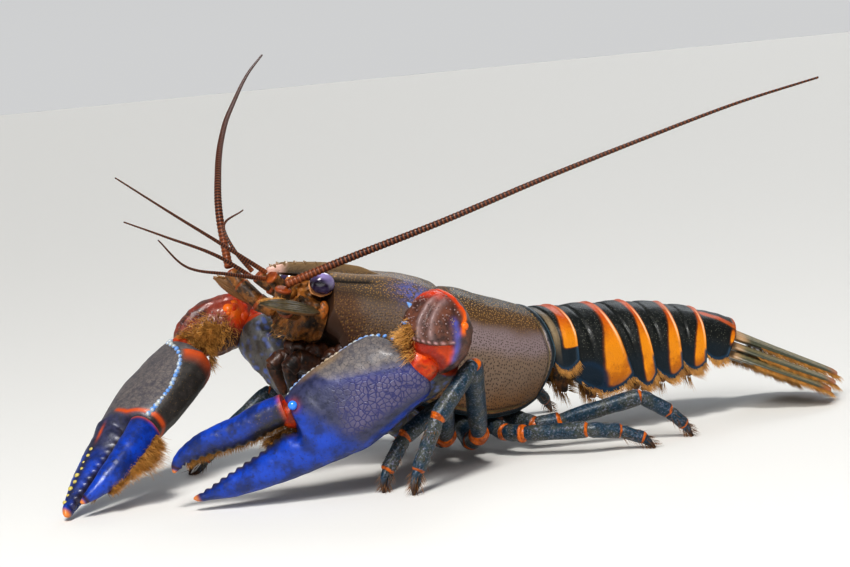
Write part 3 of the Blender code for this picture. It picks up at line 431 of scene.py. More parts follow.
def setDown(name, forms, finish):
    # joins forms into one object in metres, with their marks, and gives it to the frame
    forms = forms if isinstance(forms, list) else [forms]
    points = np.vstack([form.points for form in forms])
    starts = np.cumsum([0] + [len(form.points) for form in forms])
    faces = [face + start for form, start in zip(forms, starts) for face in form.faces]
    lengths = np.concatenate([np.full(len(face), face.shape[1]) for face in faces])
    corners = np.concatenate([face.ravel() for face in faces])
    mesh = bpy.data.meshes.new(name)
    mesh.vertices.add(len(points))
    mesh.vertices.foreach_set("co", ((points + homeShift) * mm).ravel())
    mesh.loops.add(len(corners))
    mesh.loops.foreach_set("vertex_index", corners)
    mesh.polygons.add(len(lengths))
    mesh.polygons.foreach_set("loop_start", np.cumsum(np.r_[0, lengths[:-1]]))
    mesh.update(calc_edges=True)
    mesh.validate()
    for key in sorted({key for form in forms for key in form.marks}):
        values = np.concatenate([form.marks.get(key, np.zeros(len(form.points))) for form in forms])
        mesh.attributes.new(key, "FLOAT", "POINT").data.foreach_set("value", values)
    if forms[0].bake is not None:
        flat = np.concatenate([form.bake for form in forms])
        mesh.uv_layers.new(name="OFBake").data.foreach_set("uv", flat[corners].ravel())
    mesh.shade_smooth()
    mesh.set_sharp_from_angle(angle=math.radians(sharpFrom))
    mesh.materials.append(finish.material)
    made = bpy.data.objects.new(name, mesh)
    bpy.context.scene.collection.objects.link(made)
    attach(made, "root")
    return made


def setInPlace(name, forms, finish):
    # the piece takes the place of the solid of the same name
    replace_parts(setDown(name, forms, finish), name)


def setHair(name, roots, ways, style, finish):
    # one piece of hair from lists of roots and ways; style has the hairs' shortest and longest, width and sag
    roots, ways = np.vstack(roots), np.vstack(ways)
    lengths = chance.uniform(*style["long"], len(roots))
    setDown(name, bristles(roots, ways, lengths, style["wide"], style["sag"]), finish)


# The chest: u runs forward along the back, v up from it, y to the animal's right.
chest = {
    "tilt": math.radians(15), "rearHeight": 25.3, "wallAngle": math.radians(128), "front": 42.0,
    "back": ((-4, 0.2), (0, 0.0), (4.4, 0.4), (10.9, 0.9), (15.5, 1.4), (18.2, 1.3), (21, 1.9), (25.8, 2.4),
             (31.9, 2.1), (39.9, 1.6), (45, 1.2)),
    "hem": ((-4, -13.5), (-1, -16.8), (2, -19.0), (5.3, -20.3), (10.4, -21.4), (19, -21.0), (26, -19.8),
            (33, -17.6), (42, -12.5)),
    "halfWidth": ((-4, 10.4), (0, 11.0), (5, 12.0), (12, 12.5), (18, 12.2), (25, 11.3), (32, 9.9), (38, 8.6),
                  (45, 7.6)),
    "rearEdge": ((0, 0.0), (0.25, -0.5), (0.5, -1.5), (0.75, -2.6), (1, -1.2)),
    "frontEdge": ((0, 42.0), (0.66, 42.0), (0.8, 39.5), (1, 34.0)),
    "grooveTop": 18.2, "grooveReach": 9.5, "lip": 1.1, "recess": 3.0, "grid": (190, 150),
}
backLine, hemLine, halfWidth = curve(chest["back"]), curve(chest["hem"]), curve(chest["halfWidth"])


def headPoint(u, v, y):
    # the chest's tilt turns u and v about the rear end of the back line
    u, v, y = np.broadcast_arrays(np.asarray(u, float), v, y)
    c, s = math.cos(chest["tilt"]), math.sin(chest["tilt"])
    return np.stack([v * s - u * c, y, chest["rearHeight"] + u * s + v * c], -1)


headAhead = headPoint(1, 0, 0) - headPoint(0, 0, 0)
headUp = headPoint(0, 1, 0) - headPoint(0, 0, 0)


def shellFinish():
    # dark brown back with gold dots, a lilac band that is partly its own colour and partly a painted
    # highlight, pale sides with dark pits, and a dark rim with a pale line
    made = Finish("chestShell", "shell")
    along, reach, edge = made.mark("along"), made.mark("reach"), made.mark("edge")
    groove, ridge = made.mark("groove"), made.mark("ridge")
    grain, cloud = made.noise(2.2, 4), made.noise(0.16, 3)
    girth = made.mark("girth")
    outside = made.mark("outside").rise(0.9, 1.0)
    pits = made.dotted(along, girth, 1.95, 0.7).rise(0.30, 0.14) * outside
    dots = made.dotted(along + 7.3, girth + 3.1, 2.0, 0.9).rise(0.30, 0.13) * outside
    wave = reach + (cloud - 0.5) * 0.12
    made.ground((35, 31, 25), (84, 60, 38), wave.rise(0.16, 0.40))
    # the lilac band along the upper side: partly its own colour, partly a painted highlight
    made.layer((124, 108, 108), wave.rise(0.42, 0.55))
    made.layer((114, 94, 78), wave.rise(0.60, 0.72))
    made.layer((124, 88, 54), wave.rise(0.78, 0.96))
    made.layer((88, 74, 62), along.rise(16, 26) * 0.85)
    stain = along.rise(28, 40) * wave.rise(0.35, 0.6) * cloud.rise(0.3, 0.6)
    made.layer((84, 54, 32), stain * 0.8)
    made.layer((58, 34, 24), along.rise(22, 40) * reach.rise(0.60, 0.9) * 0.9)
    gold = dots * wave.rise(0.52, 0.36).top(along.rise(17, 24) * 0.30)
    made.layer((176, 134, 66), gold * 0.9)
    blotch = made.mark("blueSpot") * made.noise(1.3, 4).rise(0.32, 0.6)
    made.layer((90, 104, 182), blotch * 0.75)
    dark = pits * wave.rise(0.44, 0.58) * (0.75 - 0.45 * along.rise(17, 24))
    made.layer((46, 32, 22), dark)
    made.layer((26, 22, 20), grain.rise(0.5, 0.72) * 0.5 * reach.rise(0.5, 0.25))
    made.layer((150, 106, 92), groove * 0.45)
    made.layer((12, 10, 10), made.mark("slit"))
    made.layer((58, 38, 26), (1.0 - outside) * along.rise(24, 32) * 0.8)
    made.layer((150, 130, 112), ridge * 0.5)
    made.layer((12, 26, 34), edge.rise(1.15, 0.85))
    made.layer((112, 98, 62), edge.rise(1.15, 1.3) * edge.rise(1.65, 1.45) * 0.85)
    made.layer((34, 26, 20), edge.rise(1.6, 1.75) * edge.rise(2.2, 1.95) * 0.5)
    made.layer((64, 92, 104), edge.rise(0.40, 0.15) * 0.7)
    height = grain * 0.3 - pits * reach.rise(0.4, 0.6) * 0.9 + dots * reach.rise(0.6, 0.4) * 0.3
    made.paint(0.38 + 0.2 * grain, 0.12, height, 0.12, coatRough=0.2, gloss=0.35)
    return made


def carapace(finish):
    # a sheet bent over the chest: t runs from -1 at the left hem over the back to 1 at the right hem, and
    # the angle is |t| times the wall's turn; y = half width sin(angle), and v falls from the back line by
    # 0.52 depth (1 - cos) to the side and by 0.48 depth, shared over the rest of the turn, to the hem; rim,
    # groove, ridges and slits are hills along the normal, and an inner wall closes the sheet
    rows, columns = chest["grid"]
    share = np.linspace(0, 1, rows)[:, None]
    t = np.linspace(-1, 1, columns)[None, :]
    reach = np.abs(t)
    rear, front = curve(chest["rearEdge"])(reach), curve(chest["frontEdge"])(reach)
    u = rear + (front - rear) * share
    angle = reach * chest["wallAngle"]
    top, hem = backLine(u), hemLine(u)
    depth = top - hem
    groove = hill(u, chest["grooveTop"] + chest["grooveReach"] * reach ** 1.5, 1.1) * fall(reach, 0.82, 0.92)
    swell = 1 - 0.05 * groove
    belowSide = 0.48 / -math.cos(chest["wallAngle"])
    rise = np.where(angle < math.pi / 2, 0.52, belowSide) * np.cos(angle)
    y = halfWidth(u) * np.sin(angle) * np.sign(t) * swell
    v = np.minimum(top - 0.52 * depth + depth * rise * swell, top)
    outer = headPoint(u, v, y)
    fromLeft = np.cumsum(np.linalg.norm(np.diff(outer, axis=1, prepend=outer[:, :1]), axis=2), axis=1)
    fromRear = np.cumsum(np.linalg.norm(np.diff(outer, axis=0, prepend=outer[:1]), axis=2), axis=0)
    fromHem = np.minimum(fromLeft, fromLeft[:, -1:] - fromLeft)
    edge = np.minimum(fromHem, fromRear)
    ridge = hill(np.abs(y), 4.7, 0.55) * ease(u, 27, 31) * fall(u, 41.0, 42.0)
    slit = hill(np.abs(y), 5.75, 0.42) * ease(u, 33, 35)
    trail = hill(np.abs(y), 3.0 + 0.06 * (18 - u), 0.3) * ease(u, 1.5, 3) * fall(u, 15, 17)
    rim = 0.16 * hill(edge, 0.5, 0.35) - 0.22 * hill(edge, 1.25, 0.22)
    height = (rim + 0.45 * ridge - 0.3 * slit - 0.14 * trail - 0.2 * groove
              + 0.05 * lumps(outer, 3.5, 3) * ease(edge, 1, 3))
    inner = headPoint(u, hem + chest["recess"] * np.minimum(1, (1 - reach) / 0.2),
                      (np.abs(y[:, :1]) - chest["lip"]) * np.sign(t) * np.minimum(1, reach / 0.8))
    rings = np.concatenate([outer, inner[:, ::-1]], axis=1)
    lift = np.concatenate([height * ease(fromHem, 0, 0.3), 0 * height], axis=1)
    lift = lift * ease(share, 0, 0.012) * fall(share, 0.985, 1)
    rings = raised(rings, lift)
    girth = np.sign(t) * angle * np.sqrt((halfWidth(u) ** 2 + depth ** 2 / 4) / 2)    # mm round from the back
    marks = {"along": u, "reach": reach, "girth": girth, "edge": edge, "groove": groove, "ridge": ridge,
             "slit": slit, "blueSpot": hill(u, 26.6, 3.3) * hill(reach, 0.35, 0.12)}
    marks = {key: np.hstack([value + 0 * u, value[:, ::-1] + 0 * u]) for key, value in marks.items()}
    marks["outside"] = np.hstack([1 + 0 * u, 0 * u])
    setInPlace("carapace", skin(rings, marks), finish)


beak = {
    # along u: half width, v of the trough, v of the rim and v of the underside
    "stations": ((30.0, 3.4, 0.9, 1.3, -2.0), (33.0, 3.2, 1.45, 1.75, -2.0), (36.0, 3.0, 1.5, 2.25, -1.5),
                 (40.0, 2.9, 1.45, 2.17, -0.95), (43.0, 2.5, 1.2, 1.82, -1.0), (46.0, 2.1, 0.9, 1.42, -1.0),
                 (49.0, 1.6, 0.5, 0.9, -1.1), (51.0, 0.9, -0.1, 0.12, -1.3), (52.0, 0.35, -0.5, -0.42, -1.2)),
    "teeth": (43.6, 45.6, 47.5, 49.3, 50.8), "toothLength": 0.66, "toothWide": 0.6,
}


def rostrum(finish):
    # a trough between two raised rims: v = top - 0.4 (1 - q q) + (rim - top + 0.25) hill(|q|), q across from
    # -1 to 1; five pairs of teeth lean forward from the rims
    stations = np.array(beak["stations"])
    u = np.linspace(stations[0, 0], stations[-1, 0], 90)
    half, top, rim, under = curve(stations)(u).T[..., None]
    q = np.linspace(-1, 1, 40)[None, :]
    upper = top - 0.4 * (1 - q * q) + (rim - top + 0.25) * hill(np.abs(q), 0.9, 0.13)
    lower = under + 0.45 * q * q
    y = half * np.hstack([q, q[:, ::-1] * 0.92])
    rings = headPoint(u[:, None], np.hstack([upper, lower[:, ::-1]]), y)
    rim = np.hstack([hill(np.abs(q), 0.92, 0.16), 0 * q])
    marks = {"rim": rim, "tip": ease(u, 48.5, 51)[:, None]}
    at = np.repeat(beak["teeth"], 2)
    side = np.tile([-1.0, 1.0], len(beak["teeth"]))
    wide, high = np.interp(at, stations[:, 0], stations[:, 1]), np.interp(at, stations[:, 0], stations[:, 3])
    ways = headAhead * 0.8 + headUp * 0.45 + side[:, None] * np.array([0, 0.35, 0])
    root = headPoint(at, high - 0.1, side * (wide - 0.25))
    teeth = bristles(root, ways, beak["toothLength"], beak["toothWide"], headUp * 0.15, {"rim": 1.0}, sides=8,
                     taper=(1, 0.9, 0.6, 0.12), unwrap=False)
    setDown("rostrum", [skin(rings, marks), teeth], finish)


def rostrumFinish():
    made = Finish("rostrumHorn", "shell")
    grain = made.noise(2.6, 4)
    made.ground((74, 60, 42), (34, 27, 20), grain.rise(0.4, 0.65))
    made.layer((140, 110, 72), made.mark("rim") * 0.7)
    made.layer((222, 178, 164), made.mark("tip") * 0.85)
    made.paint(0.4, 0.3, grain, 0.12)
    return made


def headFinish():
    made = Finish("headJoints", "head")
    grain, cloud = made.noise(1.8, 5), made.noise(0.5, 3)
    made.ground((136, 84, 32), (56, 38, 21), cloud.rise(0.38, 0.62))
    made.layer((168, 116, 54), grain.rise(0.52, 0.68) * 0.6)
    # near-black patches at random: painted shade standing in for the shadows among the head's parts
    made.layer((20, 14, 10), made.noise(0.34, 4).rise(0.47, 0.34) * 0.75)
    made.layer((160, 64, 2), made.mark("joint").rise(0.4, 1.1) * (0.3 + 0.6 * grain))
    made.layer((196, 134, 82), made.mark("cup"))
    made.layer((168, 92, 26), made.mark("cheek") * grain.rise(0.35, 0.6) * 0.9)
    made.paint(0.42 + 0.15 * grain, 0.15, grain + made.noise(5.0, 2) * 0.3, 0.16, coatRough=0.2, gloss=0.35)
    return made


def mouthFinish():
    made = Finish("mouthShell", "head")
    grain, cloud = made.noise(1.4, 5), made.noise(0.5, 3)
    made.ground((62, 32, 16), (26, 17, 12), cloud.rise(0.38, 0.62))
    made.layer((104, 60, 24), grain.rise(0.5, 0.7) * 0.6)
    made.paint(0.45, 0.1, grain, 0.15)
    return made


faceShape = {
    # half of the outline (y, v), then along u: scale of the outline and lift of its lower part
    "half": ((0, -1.7), (2.4, -1.8), (2.9, -2.6), (3.0, -4.6), (6.4, -4.9), (6.9, -6.4), (6.3, -9.0),
             (4.8, -12.0), (0, -12.6)),
    "stations": ((42.3, 1.0, 0.0), (44.4, 1.0, 0.1), (46.0, 0.98, 0.3), (47.0, 0.92, 0.6), (47.4, 0.84, 0.9)),
    "cheek": {"place": (43.2, -6.3, 6.4), "half": (1.0, 0.9, 1.7)},
    "bumps": ((0.34, 2.6, 11), (0.16, 1.1, 12)),       # height, size and seed
}


def faceBlock(finish):
    # the outline, cut to a quarter and three quarters of each side three times to round it, is carried
    # along u and shrinks towards the front; two sizes of lumps crease it, and a knob stands on each cheek
    half = np.array(faceShape["half"])
    outline = np.vstack([half[1:-1], half[-1:], half[-2:0:-1] * (-1, 1), half[:1]])
    for _ in range(3):
        after = np.roll(outline, -1, 0)
        outline = np.stack([outline * 0.75 + after * 0.25, outline * 0.25 + after * 0.75], 1).reshape(-1, 2)
    stations = np.array(faceShape["stations"])
    back, front = stations[[0, -1], 0]
    u = np.linspace(back, front, 36)
    scale, lift = curve(stations)(u).T[..., None]
    y, v = outline[:, 0] * scale, outline[:, 1] + lift * (outline[:, 1] < -5)
    rings = headPoint(u[:, None], v, y)
    bump = sum(high * lumps(rings, size, seed) for high, size, seed in faceShape["bumps"])
    rings = raised(rings, bump * ease(u, back, back + 0.9)[:, None])
    forms = [skin(rings, {"joint": 0.35 * hill(v, -5.4, 1.2) * (np.abs(y) > 2.5)})]
    along, above, aside = faceShape["cheek"]["place"]
    for side in (-1, 1):
        axes = np.array([headAhead, (0.0, side, 0.0), headUp])
        forms.append(grains([headPoint(along, above, side * aside)], [faceShape["cheek"]["half"]], axes,
                            {"cheek": 1.0}, 20, 30))
    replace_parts(setDown("faceBlock", forms, finish), "face")


eyeShape = {
    "place": (44.0, -1.7, 6.2), "half": (1.9, 2.3, 1.95),      # u, v, y, then half sizes aside, ahead and up
    # the stalk's way out from the beak's side: behind, below and beside the eye, then its width and thickness
    "stalk": {"behind": (0.9, 0.7, 0.25, 0.0), "below": (1.6, 1.3, 0.75, 0.5), "beside": (3.2, 3.9, 4.9, 5.7),
              "wide": (2.6, 4.3), "thick": (2.2, 3.7), "rings": 24},
}


def eyeFinish():
    # violet facets, lilac where the sky shines on them
    made = Finish("eyeLens", "eye")
    lilac = made.mark("lilac")
    facets = made.cells(9.0, spread=0.3)
    made.ground((44, 32, 58), (88, 72, 112), facets)
    made.layer((16, 10, 20), made.mark("dark") * 0.85)
    made.layer((158, 142, 196), lilac * (0.7 + 0.3 * facets))
    made.paint(0.12, 1.0, facets, 0.012, coatRough=0.03)
    return made


def eyes(lens, joint):
    # a ball with three half sizes, marked lilac where it faces up and dark round its middle; the stalk is a
    # tube that widens into the cup under it
    u, v, y = eyeShape["place"]
    stalk = eyeShape["stalk"]
    ball = ballRings(44, 56)
    lilac = ease(ball[..., 2] - 0.55 * ball[..., 1] + 0.35 * ball[..., 0], 0.15, 0.75)
    dark = hill(ball[..., 2] + 0.1 * ball[..., 1], -0.02, 0.30)
    for name, side in (("left", -1), ("right", 1)):
        axes = np.array([(0.0, side, 0.0), headAhead, headUp])
        rings = headPoint(u, v, side * y) + ball * eyeShape["half"] @ axes
        setInPlace("eye_" + name, skin(rings, {"lilac": lilac, "dark": dark}), lens)
        path = route(headPoint(u - np.array(stalk["behind"]), v - np.array(stalk["below"]),
                               side * np.array(stalk["beside"])), stalk["rings"])
        wide, thick = np.linspace(*stalk["wide"], len(path)), np.linspace(*stalk["thick"], len(path))
        rings = ringsAlong(path, wide, thick, headUp)
        rings = raised(rings, 0.12 * lumps(rings, 1.6, 5))
        cup = ease(np.linspace(0, 1, len(path)), 0.35, 0.8)[:, None]
        setInPlace("eyestalk_" + name, skin(rings, {"cup": cup}), joint)


feelers = {
    "antenna_flagellum_left": (
        (-50.9, -8.4, 36.0), (-43.0, -10.6, 38.4), (-26.0, -20.0, 44.1), (-9.1, -28.0, 50.0),
        (7.1, -34.0, 54.9), (25.2, -39.0, 59.7), (40.2, -42.0, 62.6)),
    "antenna_flagellum_right": (
        (-53.3, 9.8, 38.6), (-52.3, 14.0, 47.8), (-48.2, 22.0, 55.5), (-40.1, 36.0, 62.6),
        (-31.3, 50.0, 67.1), (-20.7, 66.0, 72.0), (-9.6, 82.0, 75.8)),
    "antennule_upper_left": (
        (-51.9, -2.9, 38.0), (-59.7, -3.6, 43.7), (-69.0, -4.8, 50.2), (-79.0, -6.0, 57.4)),
    "antennule_lower_left": (
        (-52.1, -2.6, 36.9), (-59.6, -4.4, 38.7), (-68.1, -6.0, 41.2), (-73.3, -8.0, 46.3)),
    "antennule_upper_right": (
        (-51.9, 2.9, 38.0), (-54.6, 3.6, 42.0), (-55.4, 5.4, 46.0), (-49.8, 9.0, 48.5)),
    "antennule_lower_right": (
        (-52.1, 2.6, 36.9), (-57.6, 2.6, 41.0), (-67.9, 3.0, 46.1), (-74.6, 3.6, 49.3)),
}
# across at the root, across at the tip, and the length of one ring
feelerSize = {"flagellum": (1.65, 0.42, 0.72), "antennule": (0.95, 0.26, 0.5)}


def feelerFinish():
    made = Finish("feelerRings", "feeler")
    ring = made.mark("ring")
    made.ground((38, 14, 9), (116, 66, 38), ring.rise(0.45, 0.95))
    made.layer((150, 74, 26), made.mark("fore") * 0.4)
    made.paint(0.45, 0.1, made.noise(3.0), 0.03, gloss=0.3)
    return made


def scaleFinish():
    made = Finish("feelerScale", "head")
    grain = made.noise(1.5, 5, 0.6)
    streak = made.node("ShaderNodeMath", {"operation": "SINE"}, {0: made.mark("across") * 26.0})
    made.ground((74, 66, 42), (38, 36, 26), grain.rise(0.35, 0.65))
    made.layer((150, 104, 62), made.mark("warm") * (0.35 + 0.8 * grain))
    made.layer((128, 104, 68), (streak * 0.5 + 0.5) * 0.25)
    made.layer((150, 98, 48), made.mark("rim").rise(0.7, 1.0) * 0.5)
    made.paint(0.42, 0.15, streak * 0.3 + grain * 0.6, 0.12)
    return made


def feelerWhips(finish):
    # a thin tube along a curve: across = root + (tip - root) s^0.8, pinched by 14 percent between its rings
    for name, points in feelers.items():
        root, tip, ringLength = feelerSize["flagellum" if "flagellum" in name else "antennule"]
        length = np.linalg.norm(np.diff(route(points, 60), axis=0), axis=1).sum()
        rings = int(length / ringLength)
        path = route(points, rings * 6 + 1)
        share = np.linspace(0, 1, len(path))
        beat = 0.5 - 0.5 * np.cos(2 * math.pi * share * rings)
        wide = (root + (tip - root) * share ** 0.8) * (0.86 + 0.14 * beat ** 0.6)
        form = skin(ringsAlong(path, wide, wide, (0.3, 0.1, 1), sides=12, power=2),
                    {"ring": beat[:, None], "fore": fall(share, 0, 0.12)[:, None]})
        setInPlace(name, form, finish)


feelerRoots = {
    # joints of each base as u, v and y in turn, from the face to the feeler, with its sizes across
    "antennule_base_left": ((47.5, 49.6, 52.2), (-4.1, -3.4, -1.9), (-2.0, -2.2, -2.7)),
    "antennule_base_right": ((47.5, 49.6, 52.2), (-4.1, -3.4, -1.9), (2.0, 2.2, 2.7)),
    "antenna_base_left": ((47.5, 49.8, 51.9, 52.1), (-7.4, -7.0, -5.9, -3.9), (-4.4, -5.6, -7.2, -8.1)),
    "antenna_base_right": ((47.5, 50.0, 52.8, 54.4), (-7.4, -6.4, -3.9, -1.9), (4.4, 5.6, 7.9, 9.4)),
    "sizes": {3: (3.0, 2.8, 2.5), 4: (3.4, 3.3, 3.1, 2.6)},
}
feelerLeaf = {
    # the middle line of each leaf in the same way, then the width at shares of its length
    "antenna_scale_left": ((45.2, 47.6, 51.4, 55.0, 58.2), (-6.6, -6.6, -6.6, -6.7, -6.9),
                           (-7.2, -9.3, -10.9, -12.0, -12.6)),
    "antenna_scale_right": ((45.2, 47.4, 50.6, 53.8, 56.5), (-6.6, -6.2, -5.2, -4.0, -3.0),
                            (7.2, 9.2, 10.8, 11.8, 12.2)),
    "wide": ((0, 2.4), (0.25, 3.6), (0.5, 4.1), (0.75, 3.2), (0.93, 1.3), (1, 0.2)),
    "rings": 60, "sides": 48, "hairs": 260,
}
whiskers = {"count": 170, "span": (-12.0, -6.5), "front": 46.9, "aside": 5.6,
            "long": (0.5, 1.4), "wide": 0.09, "sag": (0, 0, -0.1)}


def feelerBases(joint, leaf, hair):
    # jointed bases, and beside them flat leaves: tubes a fifth as thick as wide, with a groove along the
    # middle and hairs on the inner edge; loose whiskers stand on the front of the face
    for name, path in feelerRoots.items():
        if name != "sizes":
            setInPlace(name, articles(headPoint(*path), feelerRoots["sizes"][len(path[0])], headUp), joint)
    roots, ways = [], []
    rows, sides, count = feelerLeaf["rings"], feelerLeaf["sides"], feelerLeaf["hairs"]
    share, across = np.linspace(0, 1, rows), np.cos(spokes(sides))[None, :]
    for side, name in ((-1, "antenna_scale_left"), (1, "antenna_scale_right")):
        path = route(headPoint(*feelerLeaf[name]), rows)
        wide = curve(feelerLeaf["wide"])(share)
        rings = ringsAlong(path, wide, wide * 0.2 + 0.35, (0, side * 0.55, 0.8), sides, 2.4)
        rings = raised(rings, 0.18 * hill(across, 0.3, 0.2))
        pick = chance.integers(rows // 5, rows - 3, count)
        inward = np.argmax(rings[rows // 2] @ np.array([0.0, -side, 0.3]))
        roots.append(rings[pick, inward] + chance.normal(0, 0.05, (count, 3)))
        ways.append(unit(path[-1] - path[rows // 3]) * 0.8 + (rings[pick, inward] - path[pick]) * 0.5
                    + chance.normal(0, 0.15, (count, 3)))
        marks = {"rim": np.abs(across) ** 3, "across": across, "warm": float(side > 0)}
        setInPlace(name, skin(rings, marks), leaf)
    count = whiskers["count"]
    aside, above = chance.uniform(-0.95, 0.95, count), chance.uniform(*whiskers["span"], count)
    roots.append(headPoint(whiskers["front"], above, whiskers["aside"] * aside))
    ways.append(headAhead + np.stack([0 * aside, aside * 0.7, -0.8 + 0 * aside], -1)
                + chance.normal(0, 0.25, (count, 3)))
    setHair("head_whiskers", roots, ways, whiskers, hair)


def articles(joints, sizes, face, flat=0.9, sides=36, seed=2):
    # a jointed limb, one closed tube for each article: at the share s of its length it is the size there
    # times (0.8 + 0.2 rise + 0.1 swell), flat times as thick, and (1 - |2 s - 1|^14)^(1/3) blunts both of
    # its ends; the articles reach into each other, and each joint has a soft ball inside
    forms = []
    joints = [np.asarray(point, float) for point in joints]
    for k in range(len(joints) - 1):
        start, end = joints[k], joints[k + 1]
        length = np.linalg.norm(end - start)
        past = 0.15 * sizes[k]
        s = (1 - np.cos(np.linspace(0, math.pi, 40))) / 2
        path = start + unit(end - start) * (s * (length + 2 * past) - past)[:, None]
        blunt = (1 - np.abs(2 * np.clip(s, 0.002, 0.998) - 1) ** 14) ** (1 / 3)
        size = sizes[k] + (sizes[k + 1] - sizes[k]) * s
        size = size * blunt * (0.8 + 0.2 * ease(s, 0.02, 0.3) + 0.1 * ease(s, 0.5, 0.92))
        rings = ringsAlong(path, size, size * flat, face, sides)
        far, near = (1 - s) * length, s * length
        joint = np.maximum(hill(far, 0.15, 0.28 + 0.05 * sizes[k]), 0.5 * hill(near, 0, 0.35))
        rings = raised(rings, 0.05 * lumps(rings, 1.7, seed + k))
        forms.append(skin(rings, {"joint": joint[:, None]}))
        if k:
            forms.append(grains([start], [sizes[k] * 0.43] * 3, np.eye(3), {"joint": 1.0}, 10, 16))
    return forms


walking = {
    # from the hip to the tip of the claw, seven joints of each leg
    "leg_2_left": ((-23.5, -5.3, 8.6), (-25.6, -12.5, 5.6), (-27.2, -18.6, 7.0), (-30.2, -23.0, 13.4),
                   (-38.3, -23.2, 9.0), (-42.2, -23.2, 3.8), (-43.4, -23.2, 0.0)),
    "leg_3_left": ((-18.0, -5.3, 7.0), (-20.0, -13.5, 4.4), (-21.6, -21.5, 7.6), (-27.6, -29.8, 20.2),
                   (-35.8, -31.0, 12.6), (-40.0, -30.2, 4.2), (-41.2, -29.9, 0.0)),
    "leg_4_left": ((-12.5, -5.3, 5.9), (-12.0, -11.5, 4.4), (-8.7, -18.0, 4.0), (-2.4, -23.6, 4.5),
                   (3.2, -25.4, 3.6), (6.8, -27.4, 2.0), (8.6, -28.4, 0.0)),
    "leg_5_left": ((-7.5, -5.3, 6.2), (-5.6, -11.0, 4.6), (1.8, -15.6, 5.4), (10.6, -21.8, 8.4),
                   (15.2, -23.4, 5.2), (18.0, -24.0, 2.4), (19.4, -24.4, 0.0)),
    "leg_2_right": ((-23.5, 5.3, 8.6), (-25.0, 12.0, 5.4), (-31.0, 18.5, 8.6), (-41.5, 23.5, 13.5),
                    (-49.6, 25.0, 7.4), (-55.0, 25.8, 2.6), (-58.2, 26.2, 0.0)),
    "leg_3_right": ((-18.0, 5.3, 7.0), (-20.0, 13.5, 4.8), (-21.0, 20.5, 8.0), (-24.6, 27.6, 16.8),
                    (-27.4, 33.4, 9.6), (-30.4, 35.6, 3.6), (-31.6, 36.4, 0.0)),
    "leg_4_right": ((-12.5, 5.3, 5.9), (-11.6, 12.0, 4.4), (-8.4, 18.4, 6.4), (-3.6, 25.4, 12.6),
                    (-0.6, 30.6, 7.8), (1.6, 33.6, 3.0), (2.4, 34.8, 0.0)),
    "leg_5_right": ((-7.5, 5.3, 6.2), (-5.4, 11.4, 4.6), (0.6, 16.0, 6.6), (9.0, 20.4, 11.0),
                    (14.4, 23.0, 6.6), (18.4, 24.8, 2.6), (20.0, 25.6, 0.0)),
}
legShape = {"thick": {2: 3.6, 3: 3.7, 4: 3.3, 5: 3.1}, "hipSide": 4.7, "pincers": (2, 3),
            "upper": (1.05, 1.0, 1.0, 0.92), "lower": (0.95, 0.8, 0.66),       # parts of the thickness
            "claw": {"single": 0.62, "pincer": 0.42, "gap": 0.13}}
legHair = {"counts": (60, 70), "long": (0.8, 1.9), "wide": 0.09, "sag": (0, 0, -0.1)}


def legFinish():
    # slate blue, speckled pale and black, with ragged orange rings at the joints and horny claws
    made = Finish("legShell", "leg")
    grain, cloud = made.noise(1.3, 5, 0.6), made.noise(0.3, 3)
    pale = made.noise(2.6, 4, 0.65).rise(0.5, 0.66)
    made.ground((16, 46, 62), (58, 62, 56), cloud.rise(0.42, 0.6))
    made.layer((124, 126, 146), pale * 0.45 + cloud.rise(0.45, 0.65) * pale * 0.35)
    made.layer((10, 12, 13), made.cells(1.9).rise(0.36, 0.18) * 0.75)
    ragged = made.noise(0.75, 4, 0.6)
    orange = made.mix((196, 96, 8), (96, 40, 10), ragged.rise(0.42, 0.60) * 0.7)
    ring = made.mark("joint") * (-0.55 + 1.2 * grain + 1.9 * ragged)
    made.layer(orange, ring.rise(0.30, 0.66))
    made.layer((58, 34, 18), made.mark("claw"))
    made.paint(0.36 + 0.15 * grain, 0.1, grain, 0.1, coatRough=0.15, gloss=0.35)
    return made


def walkingLegs(finish, hair):
    # three articles from the hip to the knee, then two and the foot, thinnest square to the knee's bend
    for name, points in walking.items():
        joints = np.array(points)
        number, side = int(name[4]), -1 if name.endswith("left") else 1
        size = legShape["thick"][number]
        face = np.cross(joints[4] - joints[3], joints[3] - joints[2])
        hip = np.array([joints[0][0], side * legShape["hipSide"], joints[0][2]])
        upper = articles([hip, joints[1], (joints[1] + joints[2]) / 2, joints[3]],
                         size * np.array(legShape["upper"]), face, seed=number)
        lower = articles(joints[3:6], size * np.array(legShape["lower"]), face, seed=number + 9)
        lower += footForms(joints[5], joints[6], size, face, number in legShape["pincers"])
        setInPlace(name + "_upper", upper, finish)
        setInPlace(name + "_lower", lower, finish)
    legBristles(hair)


def footForms(ankle, tip, size, face, pincer):
    # the last joint: one horny claw, or on the pincer legs two that nearly meet; across falls by 0.8 s^1.3
    down = tip - ankle
    aside = unit(np.cross(down, face)) * size * legShape["claw"]["gap"]
    forms = []
    for way in ((-1, 1) if pincer else (0,)):
        path = route([ankle - 0.12 * down, ankle + 0.3 * down + way * aside * 1.5,
                      ankle + 0.7 * down + way * aside * 1.4, tip + way * aside * 0.1], 26)
        share = np.linspace(0, 1, len(path))
        wide = size * legShape["claw"]["pincer" if pincer else "single"] * (1 - 0.8 * share ** 1.3)
        forms.append(skin(ringsAlong(path, wide, wide, face, 20), {"joint": hill(share, 0.05, 0.1)[:, None],
                                                                   "claw": ease(share, 0.45, 0.8)[:, None]}))
    return forms


